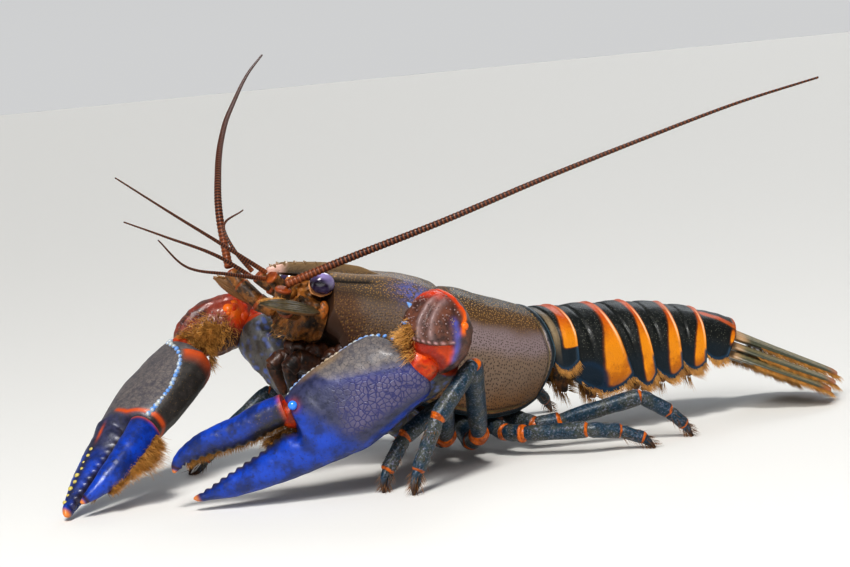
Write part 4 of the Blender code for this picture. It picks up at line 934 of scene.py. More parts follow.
def legBristles(hair):
    # hairs round the last two joints of each leg, leaning towards its tip
    roots, ways = [], []
    for name, points in walking.items():
        joints = np.array(points)
        size = legShape["thick"][int(name[4])]
        for start, end, count in zip(joints[4:6], joints[5:7], legHair["counts"]):
            share = chance.uniform(0.1, 0.85, count)[:, None]
            down = end - start
            out = unit(np.cross(chance.normal(size=(count, 3)), down))
            roots.append(start + down * share + out * size * 0.3 * (1 - 0.45 * share))
            ways.append(unit(out + unit(down) * 1.3))
    setHair("leg_bristles", roots, ways, legHair, hair)


claws = {
    # joints from the chest to the hand, the wrist's middle and its half sizes ahead, aside and up, the line
    # and the outer face of the hand, the side of the movable finger, and the finger's middle line on the
    # hand
    "left": {"hip": (-28.0, -4.7, 9.3), "elbow": (-31.5, -10.5, 8.2), "shoulder": (-37.2, -14.6, 12.0),
             "knuckle": (-31.6, -26.6, 22.6), "wristBlock": (-33.9, -29.8, 26.6),
             "blockSize": (6.6, 5.6, 6.9), "handStart": (-37.9, -29.6, 21.8), "handEnd": (-71.6, -10.2, 0.9),
             "handFace": (-0.50, -0.85, 0.12), "fingerSide": (0, 0, 1),
             "finger": ((22.8, 5.9), (27.0, 6.7), (31.0, 7.1), (35.0, 8.0), (39.0, 8.7), (42.5, 8.6),
                        (44.8, 7.2))},
    "right": {"hip": (-28.0, 4.7, 9.3), "elbow": (-31.5, 9.6, 8.4), "shoulder": (-42.4, 9.0, 13.6),
              "knuckle": (-46.0, 19.4, 27.0), "wristBlock": (-51.6, 21.6, 26.9), "blockSize": (8.0, 5.0, 5.0),
              "handStart": (-57.9, 22.2, 23.0), "handEnd": (-91.2, 4.2, 1.0),
              "handFace": (-0.80, -0.24, 0.54), "fingerSide": (0, -1, 0),
              "finger": ((22.8, 5.7), (26.2, 6.1), (29.6, 6.2), (33.0, 6.0), (36.2, 5.4), (39.0, 4.5),
                         (41.4, 3.3))},
}
palmShape = {
    # along the hand: station, lower edge, upper edge and thickness; past the step at 22 it is the fixed
    # finger
    "stations": (
        (0.0, -3.6, 3.6, 6.4), (1.5, -5.0, 6.2, 7.8), (4.5, -5.9, 8.2, 8.8), (9.0, -6.6, 8.7, 9.2),
        (14.0, -7.1, 8.7, 9.2), (18.5, -6.5, 8.3, 8.8), (21.0, -6.0, 7.5, 8.4), (21.9, -5.9, 6.7, 8.0),
        (22.5, -5.8, 2.9, 7.6), (25.5, -5.2, 2.4, 6.4), (31.0, -4.0, 1.8, 5.2), (37.0, -2.3, 1.7, 3.8),
        (42.0, 0.0, 1.6, 2.4), (43.9, 0.85, 2.0, 1.4), (44.4, 1.3, 2.0, 0.5)),
    "rows": ((0.0, 21.8, 90), (22.0, 22.6, 8), (22.8, 44.4, 90)), "sides": 96,
    "toothPitch": 1.6, "toothHigh": 0.38,
}
palmAt = curve(palmShape["stations"])
fingerShape = {
    # share of its length, width across the gape and thickness
    "stations": ((0, 5.2, 6.4), (0.167, 5.2, 6.0), (0.333, 4.9, 5.4), (0.5, 4.4, 4.7), (0.667, 3.5, 3.7),
                 (0.833, 2.3, 2.4), (0.96, 1.2, 1.2), (1, 0.5, 0.5)),
    "rings": 110, "sides": 72, "teeth": 14, "toothHigh": 0.34,
}
fingerAt = curve(fingerShape["stations"])
beadRow = {"count": 22, "span": (1.2, 21.0), "size": 0.52,
           "hinge": {"at": (21.0, 5.6), "half": (0.8, 0.8, 0.75)},
           # station and degrees round from the upper edge to the outer face
           "turn": {"left": ((2.0, 0), (20.6, 0)),
                    "right": ((2.0, 98), (4.8, 69), (7.2, 49), (9.6, 39), (14.4, 28), (20.6, 27))}}
knobRow = {"count": 9, "span": (29.5, 42.0), "size": (0.28, 0.5)}


class Hand:
    # a claw's own directions: along the hand, across towards the movable finger, and out of its outer face
    def __init__(self, name):
        arm = {key: np.array(value, float) for key, value in claws[name].items()}
        self.name, self.arm, self.start = name, arm, arm["handStart"]
        self.along = unit(arm["handEnd"] - arm["handStart"])
        self.out = unit(arm["handFace"] - (arm["handFace"] @ self.along) * self.along)
        self.across = np.cross(self.out, self.along)
        self.across = self.across * np.sign(self.across @ arm["fingerSide"])
        self.axes = np.array([self.across, self.along, self.out])

    def point(self, along, across, out):
        place = np.stack(np.broadcast_arrays(np.asarray(across, float), along, out), -1)
        return self.start + place @ self.axes

    def fingerLine(self, share):
        line = self.arm["finger"]
        return curve(np.column_stack([np.linspace(0, 1, len(line)), line]))(share).T

    def wristAxes(self):
        # ahead from the knuckle to the hand, aside and up
        ahead = unit(self.arm["handStart"] - self.arm["knuckle"])
        side = unit(np.cross(ahead, (0, 0, 1)))
        return np.array([ahead, side, np.cross(side, ahead)])


def clawFinish(name):
    # grey stone above, violet-grey slate with a dark network below, deep blue edge and fingers, amber tips
    made = Finish("claw_" + name, "claw")
    grey, web, blue = made.mark("grey"), made.mark("web"), made.mark("blue")
    grain, cloud = made.noise(1.5, 5, 0.6), made.noise(0.3, 3)
    fine = made.noise(0.9, 4)
    network = made.cells(1.1, "DISTANCE_TO_EDGE", 0.9).rise(0.15, 0.02)
    pits = made.cells(1.9).rise(0.22, 0.10)
    blur = (cloud - 0.5) * 0.9 + (fine - 0.5) * 0.5
    slate = made.mix((50, 52, 80), (30, 33, 58), fine.rise(0.4, 0.65))
    stone = made.mix((104, 96, 92), (74, 70, 74), fine.rise(0.35, 0.7))
    stone = made.mix(stone, (54, 52, 62), made.cells(1.25, "DISTANCE_TO_EDGE", 0.8).rise(0.12, 0.02) * 0.5)
    deep = made.mix((2, 60, 166), (2, 34, 98), cloud.rise(0.36, 0.66))
    deep = made.mix(deep, (6, 14, 40), grain.rise(0.53, 0.72) * 0.55)
    deep = made.mix(deep, (30, 28, 34), made.noise(0.22, 3).rise(0.56, 0.70) * fine.rise(0.4, 0.6) * 0.6)
    made.ground(slate, stone, (grey + blur * 0.5).rise(0.35, 0.65))
    cellTone = (web + blur * 0.7).rise(0.25, 0.95) * (0.35 + 0.6 * fine)
    made.layer((94, 86, 114), cellTone)
    made.layer((24, 28, 84), (web + blur * 0.9).rise(0.2, 0.8) * network * 0.9)
    made.layer((40, 50, 130), made.mark("seam") * 0.5 * (0.4 + fine))
    made.layer(deep, (blue + blur * 0.5).rise(0.25, 0.8))
    made.layer((16, 15, 18), pits * 0.6)
    # murk darkens the claw; on the far hand's face beyond its bead row that dark is partly painted shade
    murk = made.mark("murk")
    made.layer((34, 30, 26), murk * (0.7 + 0.5 * fine))
    made.layer((176, 140, 60), murk.rise(0.2, 0.6) * made.cells(2.3).rise(0.20, 0.06) * 0.45)
    made.layer((184, 72, 10), (made.mark("hinge") * 1.3).low(0.95))
    made.layer((150, 118, 70), made.mark("gilt") * 0.8)
    made.layer((50, 40, 22), made.mark("bite"))
    made.layer((50, 8, 14), made.mark("dusk"))
    made.layer((206, 120, 52), made.mark("amber"))
    made.paint((0.30 + 0.2 * grain + 0.25 * grey * (1 - blue)).low(0.7), 0.12,
               grain * 0.5 - pits * 0.6 + network * web * -0.4, 0.09, coatRough=0.18)
    return made


def beadFinish():
    made = Finish("clawBeads", "claw")
    made.ground((92, 140, 204), (176, 182, 180), made.noise(0.8).rise(0.4, 0.6))
    made.layer((168, 140, 88), made.mark("gilt"))
    made.layer((48, 126, 226), made.mark("clear"))
    made.paint(0.3, 0.3)
    return made


def knobFinish():
    made = Finish("clawKnobs", "claw")
    made.ground((206, 190, 92), (150, 130, 60), made.noise(1.4))
    made.paint(0.35, 0.4)
    return made


def palmMarks(name, along, across, out):
    # where the hand is grey, webbed, blue, murky, gilded or red; out is 1 on the middle of the outer face
    # and 0 on the edges
    if name == "left":
        upperEdge = ease(across, 7.6, 8.4) * fall(np.abs(out), 0.4, 0.8)
        top = across - 0.2 - 0.4 * along           # 0 on the line between the grey and the network
        blue = np.maximum(ease(along - 0.5 * across, 12.5, 23.5), ease(-across - 0.10 * along, 3.6, 5.8))
        grey = ease(top, -1.3, 1.3) * fall(along, 11, 19)
        web = fall(top, -1.8, 1.0) * fall(along + 0.5 * across, 8.5, 21.5)
        web = web * ease(across, -6.6, -2.4) * ease(out, -0.3, 0.1)
        seam = 0.7 * hill(top, -0.3, 1.1) * fall(along, 12, 18) * (out > 0)
        murk = 0.9 * ease(along, 21.5, 25) * hill(across, 2.4, 0.9) * ease(out, -0.9, 0.2)
        gilt = 0.5 * upperEdge * fall(along, 17, 20) * ease(along, 8, 12)
        hinge = 0.6 * np.exp(-((along - 21.0) ** 2 + (across - 5.6) ** 2) / 0.9) * ease(out, 0.3, 0.7)
        return {"grey": grey, "web": web, "blue": blue, "seam": seam, "murk": murk, "gilt": gilt,
                "hinge": hinge}
    # beyond the row of beads the far hand is dark, partly its own dark brown and partly painted shade on that
    # face, and red near the wrist
    beads = np.interp(along, (2.0, 4.8, 7.2, 9.6, 14.4, 20.6), (0.2, 0.9, 0.8, 0.68, 0.52, 0.5))
    beyond = (across > 1.0) * fall(out, beads - 0.12, beads)
    blue = np.maximum(ease(along + 0.2 * across, 25, 34), 0.7 * ease(-across, 4.5, 7.0) * ease(along, 10, 20))
    knobs = hill(across + 0.8 - 0.155 * (along - 31), 0, 0.9) * ease(along, 25, 30) * fall(along, 40, 42)
    # the dark beyond the bead row is partly the hand's own dark brown and partly painted shade on that face
    murk = np.maximum(0.95 * beyond * fall(along, 21, 24), 0.85 * knobs * (out > 0))
    arch = hill(along - 21.6 + 0.25 * np.abs(across - 3.2), 0, 0.32) * ease(across, -0.6, 0.4)
    streak = 0.8 * hill(across, -1.2 + 0.1 * (along - 26), 0.35) * hill(along, 25.6, 1.6) * (out > 0)
    patch = 0.9 * beyond * fall(along + 0.5 * across, 7.5, 12.0) * ease(across, 0.4, 2.0)
    return {"grey": 1 - 0.8 * ease(along, 14, 27), "blue": blue, "murk": murk,
            "hinge": np.maximum(np.maximum(arch, streak), patch)}


def palm(hand, finish, bead, knob):
    # superellipse rings carried along the hand between its lower and its upper edge, power 2.15 to 2.45,
    # drawn in by (1 - |2 s - 1|^60)^0.45 at both ends; the first ones tilt to face the wrist, a keel runs
    # along the upper edge, and a cosine makes the teeth of the fixed finger
    stations = np.concatenate([np.linspace(*row) for row in palmShape["rows"]])
    low, high, thick = palmAt(stations).T
    angle = spokes(palmShape["sides"])
    power = 2.15 + 0.3 * hill(stations, 12, 10)[:, None]
    over, out = squarish(np.cos(angle), 2 / power), squarish(np.sin(angle), 2 / power)
    middle, half = ((low + high) / 2)[:, None], ((high - low) / 2)[:, None]
    share = np.clip(stations / stations[-1], 0.0008, 0.9998)
    narrow = ((1 - np.abs(2 * share - 1) ** 60) ** 0.45)[:, None]
    rings = hand.point(stations[:, None], middle + half * over * narrow, thick[:, None] / 2 * out * narrow)
    wristWay = unit(unit(hand.arm["handStart"] - hand.arm["wristBlock"]) + hand.along)
    offset = rings - hand.point(stations, 0, 0)[:, None, :]
    tilt = 0.75 * fall(stations, 0, 5)[:, None] * (offset @ wristWay) / (hand.along @ wristWay)
    rings = rings - tilt[..., None] * hand.along
    fixed = ease(stations, 22.5, 24)[:, None]
    beat = 0.5 + 0.5 * np.cos(2 * math.pi * stations / palmShape["toothPitch"])[:, None]
    bite = fixed * hill(np.cos(angle), 1.0, 0.12) * fall(stations, 42, 43.5)[:, None]
    height = (0.25 * (1 - fixed) * hill(np.cos(angle), 0.98, 0.06) + palmShape["toothHigh"] * bite * beat
              + 0.1 * lumps(rings, 5.5, 4) + 0.03 * lumps(rings, 1.2, 6))
    rings = raised(rings, height * ease(stations, 0.3, 1.5)[:, None])
    marks = palmMarks(hand.name, stations[:, None] + 0 * out, middle + half * over, out)
    marks.update(amber=ease(stations, 42.9, 43.9)[:, None], bite=bite * 0.7)
    setInPlace("claw_hand_" + hand.name, skin(rings, marks), finish)
    palmBeads(hand, bead)
    if hand.name == "right":
        at = np.linspace(*knobRow["span"], knobRow["count"])
        low, high, thick = palmAt(at).T
        across = high * 0.55 + low * 0.45 + chance.uniform(-0.3, 0.3, len(at))
        sizes = chance.uniform(*knobRow["size"], len(at))[:, None]
        spots = hand.point(at, across, thick / 2 * 0.94)
        setDown("claw_knobs_right", grains(spots, sizes, hand.axes, None, 7, 12), knob)


def palmBeads(hand, finish):
    # a row of beads along the upper edge, that turns onto the outer face near the far wrist, and the near
    # hinge's ball
    at = np.linspace(*beadRow["span"], beadRow["count"])
    low, high, thick = palmAt(at).T
    turn = np.radians(np.interp(at, *np.array(beadRow["turn"][hand.name]).T))
    across = (low + high) / 2 + ((high - low) / 2 + 0.05) * squarish(np.cos(turn), 0.9)
    spots = hand.point(at, across, (thick / 2 + 0.05) * np.sin(turn) ** 0.9)
    sizes = beadRow["size"] * chance.uniform(0.75, 1.15, len(at))[:, None] * np.array([0.8, 1.1, 1.0])
    gilt = 0.8 * hill(at, 12.5, 4.0) * (hand.name == "left")
    beads = [grains(spots, sizes, hand.axes, {"gilt": gilt}, 9, 14)]
    if hand.name == "left":
        along, across = beadRow["hinge"]["at"]
        place = hand.point([along], across, palmAt(along)[2] / 2 - 0.45)
        beads.append(grains(place, beadRow["hinge"]["half"], hand.axes, {"clear": 1.0}, 14, 20))
    setDown("claw_beads_" + hand.name, beads, finish)


def movableFinger(hand, finish):
    # superellipse rings along the finger's line, with a cosine's teeth on the side that faces the gape
    share = np.linspace(0, 1, fingerShape["rings"])
    wide, thick = fingerAt(share).T
    path = hand.point(*hand.fingerLine(share), 0.0)
    rings = ringsAlong(path, wide, thick, hand.out, fingerShape["sides"], 2.15)
    inside = -np.sign((rings[60] - path[60]) @ hand.across)
    faceIn = np.abs(np.cos(spokes(fingerShape["sides"]))) * inside
    bite = hill(faceIn, 1.0, 0.12) * (ease(share, 0.1, 0.2) * fall(share, 0.9, 0.95))[:, None]
    beat = 0.5 + 0.5 * np.cos(2 * math.pi * share * fingerShape["teeth"])[:, None]
    height = (fingerShape["toothHigh"] * bite * beat + 0.06 * lumps(rings, 4.0, 8)
              + 0.03 * lumps(rings, 1.1, 9))
    rings = raised(rings, height)
    root = fall(share, 0.16, 0.34)[:, None] * ease(faceIn, -0.75, -0.15)
    murk = (0.8 if hand.name == "left" else 0.3) * root
    murk = murk + 0.9 * hill(faceIn, 1, 0.45) * fall(share, 0.5, 0.9)[:, None]
    marks = {"blue": 1.0, "murk": np.clip(murk, 0, 1), "hinge": 0.55 * hill(share, 0.0, 0.022)[:, None],
             "dusk": hill(share, 0.935, 0.02)[:, None], "amber": ease(share, 0.95, 0.985)[:, None],
             "bite": bite * 0.8}
    setInPlace("claw_finger_" + hand.name, skin(rings, marks), finish)


def wristFinish():
    # brown shell with pale ridges and dark pits, a violet stripe, folded orange-red skin and red rims
    made = Finish("wristShell", "wrist")
    grain, cloud = made.noise(1.5, 5, 0.6), made.noise(0.45, 3)
    pits = made.cells(1.7).rise(0.24, 0.1)
    made.ground((58, 34, 28), (100, 60, 44), cloud.rise(0.38, 0.62))
    made.layer((142, 118, 116), made.mark("ridge") * (0.3 + 0.8 * grain))
    made.layer((22, 12, 10), pits * 0.7)
    made.layer((84, 86, 164), (made.mark("violet") * (0.5 + 0.7 * grain)).low(0.8))
    made.layer((126, 44, 28), made.mark("rosy") * cloud.rise(0.35, 0.6) * 0.7)
    crease = (made.mark("fold") * 0.8 + (cloud - 0.5) * 0.8).rise(0.25, 0.75)
    fold = made.mix((200, 66, 0), (140, 30, 0), crease)
    made.layer(fold, made.mark("membrane"))
    made.layer((214, 168, 168), made.mark("beading") * 0.8)
    red = made.mix((190, 36, 0), (222, 104, 6), made.mark("yolk") * 0.8 + grain * 0.3)
    made.layer(red, made.mark("red"))
    made.paint(0.34 + 0.18 * grain, 0.16, grain - pits * 0.4, 0.14, coatRough=0.14, gloss=0.4)
    return made


def membraneFinish():
    made = Finish("jointMembrane", "wrist")
    grain = made.noise(0.9, 4)
    made.ground((160, 30, 0), (196, 76, 4), grain.rise(0.35, 0.7))
    made.layer((78, 13, 2), made.noise(0.45).rise(0.46, 0.66) * 0.8)
    made.paint(0.4, 0.15, grain, 0.3, gloss=0.3)
    return made


wrists = {
    # directions are ahead, aside and up from the middle of the wrist
    "left": {"spines": ((0.45, 0.35, 0.82), (0.80, 0.30, 0.45)), "spineLong": 1.25, "grains": 260,
             "knob": (-0.07, -0.98, 0.16), "knobSize": 0.75, "ridged": 1.0, "rosy": 0.0},
    "right": {"spines": ((0.05, 0.98, 0.05), (0.75, 0.55, 0.30)), "spineLong": 1.0, "grains": 130,
              "knob": (-0.42, -0.80, 0.40), "knobSize": 0.45, "ridged": 0.5, "rosy": 1.0,
              "lumps": {"count": 12, "way": (-0.42, -0.78, 0.40), "spread": 0.20, "sink": 0.90,
                        "size": (0.8, 1.25)}},
    "grainSize": (0.09, 0.2), "spineWide": 0.95, "rings": 120, "sides": 150,
    # radii of the soft balls in the joints, and the one at the movable finger's root on the hand
    "balls": (("knuckle", 3.4), ("handStart", 3.6), ("shoulder", 2.5)),
    "gapeBall": {"at": (22.4, 4.7, 0.0), "half": (2.6, 2.4, 2.7)},
}


def wristMarks(name, f, a, u):
    # where the wrist is ridged, folded, beaded, red or violet, and how yellow its red is; f, a and u are the
    # directions ahead, aside and up on a ball of radius 1, and below counts down from the edge of the shell
    if name == "left":
        below = 0.05 + 0.3 * a - u
        front = ease(f, 0.0, 0.15) * fall(below, -0.16, -0.06) * (u > -0.2)
        rim = -0.24 + 0.3 * hill(u, 0.0, 0.22)
        red = hill(f, rim, 0.10) * ease(u, -0.16, 0.02) * (a < 0.3)
        stripe = hill(f, 0.24 - 0.10 * (u - 0.1), 0.11) * ease(-a, -0.1, 0.1)
        ridge = hill(a, -0.30 + 0.28 * (f - 0.5), 0.085) + 0.9 * hill(a, -0.60 + 0.1 * f, 0.075)
        beads = 0.7 * hill(below, -0.06, 0.035) * ease(f, 0.32, 0.42)
        return {"membrane": ease(below, -0.01, 0.05) * ease(f, 0.32, 0.44), "ridge": ridge * front,
                "beading": beads * (0.5 + 0.5 * np.cos(a * 42)),
                "red": np.maximum(red, 0.8 * hill(u, 1.0, 0.14) * hill(f, 0.05, 0.25)),
                # on the near wrist the yellow in the red is partly its own colour and partly a painted
                # highlight
                "yolk": hill(u, 0.16, 0.3) + 0.6 * hill(f, rim - 0.05, 0.05),
                "violet": stripe * fall(u, 0.25, 0.5) * ease(u, -0.8, -0.5)}
    below = 0.22 - 0.2 * a - u
    front = fall(below, -0.1, 0.1)
    red = hill(np.hypot((f + 0.42) / 0.24, (u - 0.25) / 0.62), 0, 0.75) * (a < -0.2)
    ridge = hill(a, 0.05 + 0.1 * f, 0.09) + hill(a, -0.35, 0.07) + 0.7 * hill(a, 0.42, 0.08)
    return {"membrane": 0.9 * ease(below, 0.30, 0.42) * ease(f, 0.2, 0.5), "ridge": ridge * front,
            "beading": 0 * u, "red": np.maximum(red, 0.9 * hill(f, -0.62, 0.1)),
            "yolk": hill(np.hypot(f + 0.42, (u - 0.35) / 1.6), 0, 0.16), "violet": 0 * u}


def wristBlock(hand, finish, membrane, bead):
    # an ovoid, cut flat where the arm and the hand meet it; ridges, beading and red rims are hills along its
    # normal, and the folded skin is a hollow with waves round its front; grains and lumps stand on it
    arm, shape, axes = hand.arm, wrists[hand.name], hand.wristAxes()
    centre, size = arm["wristBlock"], arm["blockSize"]
    ball = ballRings(wrists["rings"], wrists["sides"], 0.02)
    rings = centre + ball * size @ axes
    f, a, u = ball[..., 0], ball[..., 1], ball[..., 2]
    marks = wristMarks(hand.name, f, a, u)
    marks["fold"] = 0.5 + 0.5 * np.sin(9.0 * np.hypot(f - 0.75, a + 0.2) + 2.4 * u)
    height = (0.5 * marks["ridge"] + 0.12 * lumps(rings, 2.4, 21) + 0.05 * lumps(rings, 1.1, 22)
              + 0.35 * marks["red"] + 0.3 * marks["beading"] + 0.2 * marks["violet"]
              - marks["membrane"] * (0.75 - 0.45 * marks["fold"]))
    rings = raised(rings, height)
    armWay = unit(unit(arm["knuckle"] - arm["shoulder"]) + unit(centre - arm["knuckle"]))
    handWay = unit(unit(arm["handStart"] - centre) + hand.along)
    for point, normal in ((arm["knuckle"], -armWay), (arm["handStart"], handWay)):
        rings = rings - np.maximum((rings - point) @ normal + 0.1, 0)[..., None] * normal
    marks.update(ridge=np.clip(marks["ridge"], 0, 1) * shape["ridged"], red=np.clip(marks["red"] * 1.4, 0, 1),
                 rosy=shape["rosy"] * ease(u, 0.0, 0.6))

    def onBlock(ways):
        # the points where straight lines from the middle leave the ovoid
        ways = unit(np.array(ways) @ axes)
        return centre + ways / np.linalg.norm(ways @ axes.T / size, axis=-1)[..., None], ways

    forms = [skin(rings, marks), grains(onBlock(shape["knob"])[0], [shape["knobSize"]] * 3, np.eye(3),
                                        {"red": 1.0, "yolk": 1.1}, 20, 30)]
    spots = unit(chance.normal(0, 1, (shape["grains"], 3)) + np.array([0.9, -0.6, 0.9]))
    spots = spots[(spots[:, 0] > -0.1) & (spots[:, 2] > 0.22 + 0.3 * spots[:, 1]) & (spots[:, 1] < 0.5)]
    sizes = chance.uniform(*wrists["grainSize"], len(spots))[:, None]
    forms.append(grains(centre + (spots * size * 1.01) @ axes, sizes, axes, {"ridge": 1.0}, 6, 9))
    if "lumps" in shape:
        more = shape["lumps"]
        count = more["count"]
        spots = unit(chance.normal(0, more["spread"], (count, 3)) + np.array(more["way"]))
        sizes = chance.uniform(*more["size"], count)[:, None]
        forms.append(grains(centre + (spots * size * more["sink"]) @ axes, sizes, axes,
                            {"red": 1.0, "yolk": chance.uniform(0.0, 1.1, count)}, 14, 20))
    setInPlace("claw_wrist_" + hand.name, forms, finish)
    root, lean = onBlock(shape["spines"])
    spines = bristles(root - lean * 0.4, lean, shape["spineLong"], wrists["spineWide"], (0, 0, 0), sides=14,
                      taper=(1, 0.92, 0.55, 0.1), unwrap=False)
    setDown("claw_spines_" + hand.name, spines, bead)
    balls = [grains([arm[key]], [radius] * 3, np.eye(3), None, 24, 36) for key, radius in wrists["balls"]]
    gape = wrists["gapeBall"]
    balls.append(grains([hand.point(*gape["at"])], gape["half"], hand.axes, None, 24, 36))
    setDown("claw_membranes_" + hand.name, balls, membrane)


def armFinish():
    # grey-brown shell with blots of blue, dark pits, and orange at the joints
    made = Finish("armShell", "arm")
    grain, cloud = made.noise(1.4, 5, 0.6), made.noise(0.4, 3)
    made.ground((96, 94, 92), (66, 60, 53), cloud.rise(0.36, 0.64))
    blots = made.cells(0.75).rise(0.60, 0.10) * made.noise(0.22, 2).rise(0.34, 0.48)
    made.layer((80, 104, 178), (blots * (0.4 + 0.9 * grain)).low(0.65))
    made.layer((16, 12, 12), made.cells(1.9).rise(0.24, 0.1) * 0.6)
    made.layer((172, 56, 2), (made.mark("joint") * (0.6 + 0.7 * grain)).rise(0.45, 0.85))
    made.paint(0.38 + 0.15 * grain, 0.15, grain, 0.14, coatRough=0.2)
    return made


armShape = {
    "ischium": (4.9, 5.2, 5.8), "flat": 0.84, "rings": 70, "sides": 64,
    # share of the long article's length, and its width there
    "merus": ((0, 4.2), (0.06, 5.2), (0.2, 6.0), (0.4, 7.2), (0.6, 8.4), (0.76, 8.7), (0.94, 8.4), (1, 7.0)),
}


def armPieces(hand, finish):
    # two short articles at the chest, then one superellipse tube that widens towards the wrist
    arm, start, end = hand.arm, hand.arm["shoulder"], hand.arm["knuckle"]
    base = articles([arm["hip"], arm["elbow"], start], armShape["ischium"], (0, 0, 1), 0.92, seed=31)
    setInPlace("claw_ischium_" + hand.name, base, finish)
    share = np.linspace(0, 1, armShape["rings"])
    wide = curve(armShape["merus"])(share)
    rings = ringsAlong(start + (end - start) * share[:, None], wide, wide * armShape["flat"],
                       np.cross(end - start, (0, 0, 1)), armShape["sides"], 2.4)
    rings = raised(rings, 0.14 * lumps(rings, 3.0, 41) + 0.05 * lumps(rings, 1.1, 42))
    joint = np.maximum(hill(share, 0.97, 0.05), hill(share, 0, 0.06))[:, None]
    setInPlace("claw_merus_" + hand.name, skin(rings, {"joint": joint}), finish)


def hairFinish(name, dark, light):
    # hairs turn from dark to light towards their tips
    made = Finish(name, "head")
    made.ground(dark, light, made.mark("root") * 0.6 + made.noise(0.9).rise(0.35, 0.65) * 0.5)
    made.paint(0.6)
    return made


tail = {
    "line": ((0.4, 25.2), (5.3, 24.6), (10.5, 24.3), (16.7, 23.9), (21.8, 23.5), (26.7, 22.7), (31.5, 21.6),
             (36.2, 20.1), (39.8, 18.6), (44.2, 16.2), (52, 12.0), (60, 8.0)),
    "bend": -0.0042, "ends": (0.8, 6.0, 14.0, 20.7, 28.0, 34.3, 41.6),
    "halfWidth": ((0, 9.6), (6, 10.2), (14, 10.5), (20.7, 10.3), (28, 9.7), (34.3, 8.9), (41.6, 7.4)),
    "lobes": (11.6, 15.9, 15.4, 13.6, 11.4, 8.6), "lean": (2.6, 0.6, 5.0, 4.9, 4.6, 4.0, 0.0),
    "belly": 0.56, "bellyMore": 1.6, "step": 0.945, "grid": (54, 130),
}
lobeHair = {"count": 300, "long": (0.8, 2.2), "wide": 0.11, "sag": (0.15, 0, 0)}
tailHeight = curve(tail["line"])


def tailFrame(x):
    # the tail's line bends aside by bend x x and follows the heights of its line: place, back, side and up
    x = np.asarray(x, float)
    y, z = tail["bend"] * x * x, tailHeight(x)
    back = unit(np.stack([1 + 0 * x, 2 * tail["bend"] * x, tailHeight(x + 0.5) - tailHeight(x - 0.5)], -1))
    side = unit(np.stack([-back[..., 1], back[..., 0], 0 * x], -1))
    up = np.cross(back, side)
    return np.stack([x, y, z], -1), back, side, up * np.sign(up[..., 2:])


def tailPoint(x, y, drop):
    # a place beside the tail's line and below it
    place, _, side, up = tailFrame(x)
    return place + y[..., None] * side - drop[..., None] * up


def ringFinish():
    # blue-black rings, each with an orange band along its rear edge, a painted highlight on the band's upper
    # rear edge, painted shade along the ring's rear edge, specks on top and teal lobes
    made = Finish("tailShell", "tail_ring")
    band, reach, edge = made.mark("band"), made.mark("reach"), made.mark("edge")
    grain, cloud = made.noise(1.8, 5, 0.6), made.noise(0.4, 3)
    speck = made.cells(2.4).rise(0.30, 0.14)
    made.ground((14, 17, 16), (38, 36, 30), grain.rise(0.5, 0.7) * 0.7)
    made.layer((6, 24, 34), reach.rise(0.5, 0.75) * 0.8)
    made.layer((120, 122, 108), speck * reach.rise(0.7, 0.5) * 0.45)
    orange = made.mix((178, 68, 0), (208, 128, 8), reach.rise(0.22, 0.56))
    orange = made.mix(orange, (142, 74, 8), (cloud + reach.rise(0.62, 0.9) * 0.2).rise(0.50, 0.75) * 0.7)
    orange = made.mix(orange, (96, 48, 12), made.cells(2.2).rise(0.22, 0.08) * reach.rise(0.6, 0.8) * 0.7)
    edgeBand = band + (grain - 0.5) * 0.22
    made.layer((104, 50, 16), edgeBand.rise(0.10, 0.46) * 0.85)
    made.layer(orange, edgeBand.rise(0.34, 0.68))
    made.layer((136, 118, 92), made.mark("tan") * (0.5 + 0.8 * grain))
    # a painted highlight along the top of each band's rear edge
    made.layer((240, 200, 160), made.mark("shine") * 0.8)
    # a near-black line along each ring's rear edge is painted shade of the gap to the next ring
    made.layer((8, 14, 18), made.mark("rear"))
    made.layer((26, 52, 70), edge.rise(1.1, 0.6) * reach.rise(0.62, 0.72))
    made.layer((5, 36, 58), made.mark("teal") * 0.85)
    made.paint(0.36 + 0.2 * grain, 0.10, grain + speck * 0.4, 0.10, coatRough=0.14, gloss=0.25)
    return made


def ringX(k, share, drop):
    # how far back a point of ring k lies: its ends lean back as they go down, and it starts under the one
    # before
    start = tail["ends"][k] + tail["lean"][k] * drop / 15.0 + (0.15 if k else -0.6)
    end = tail["ends"][k + 1] + tail["lean"][k + 1] * drop / 15.0 + 0.25
    return start - 0.6 * (1 - share) ** 2 * (k > 0) + (end - start) * share


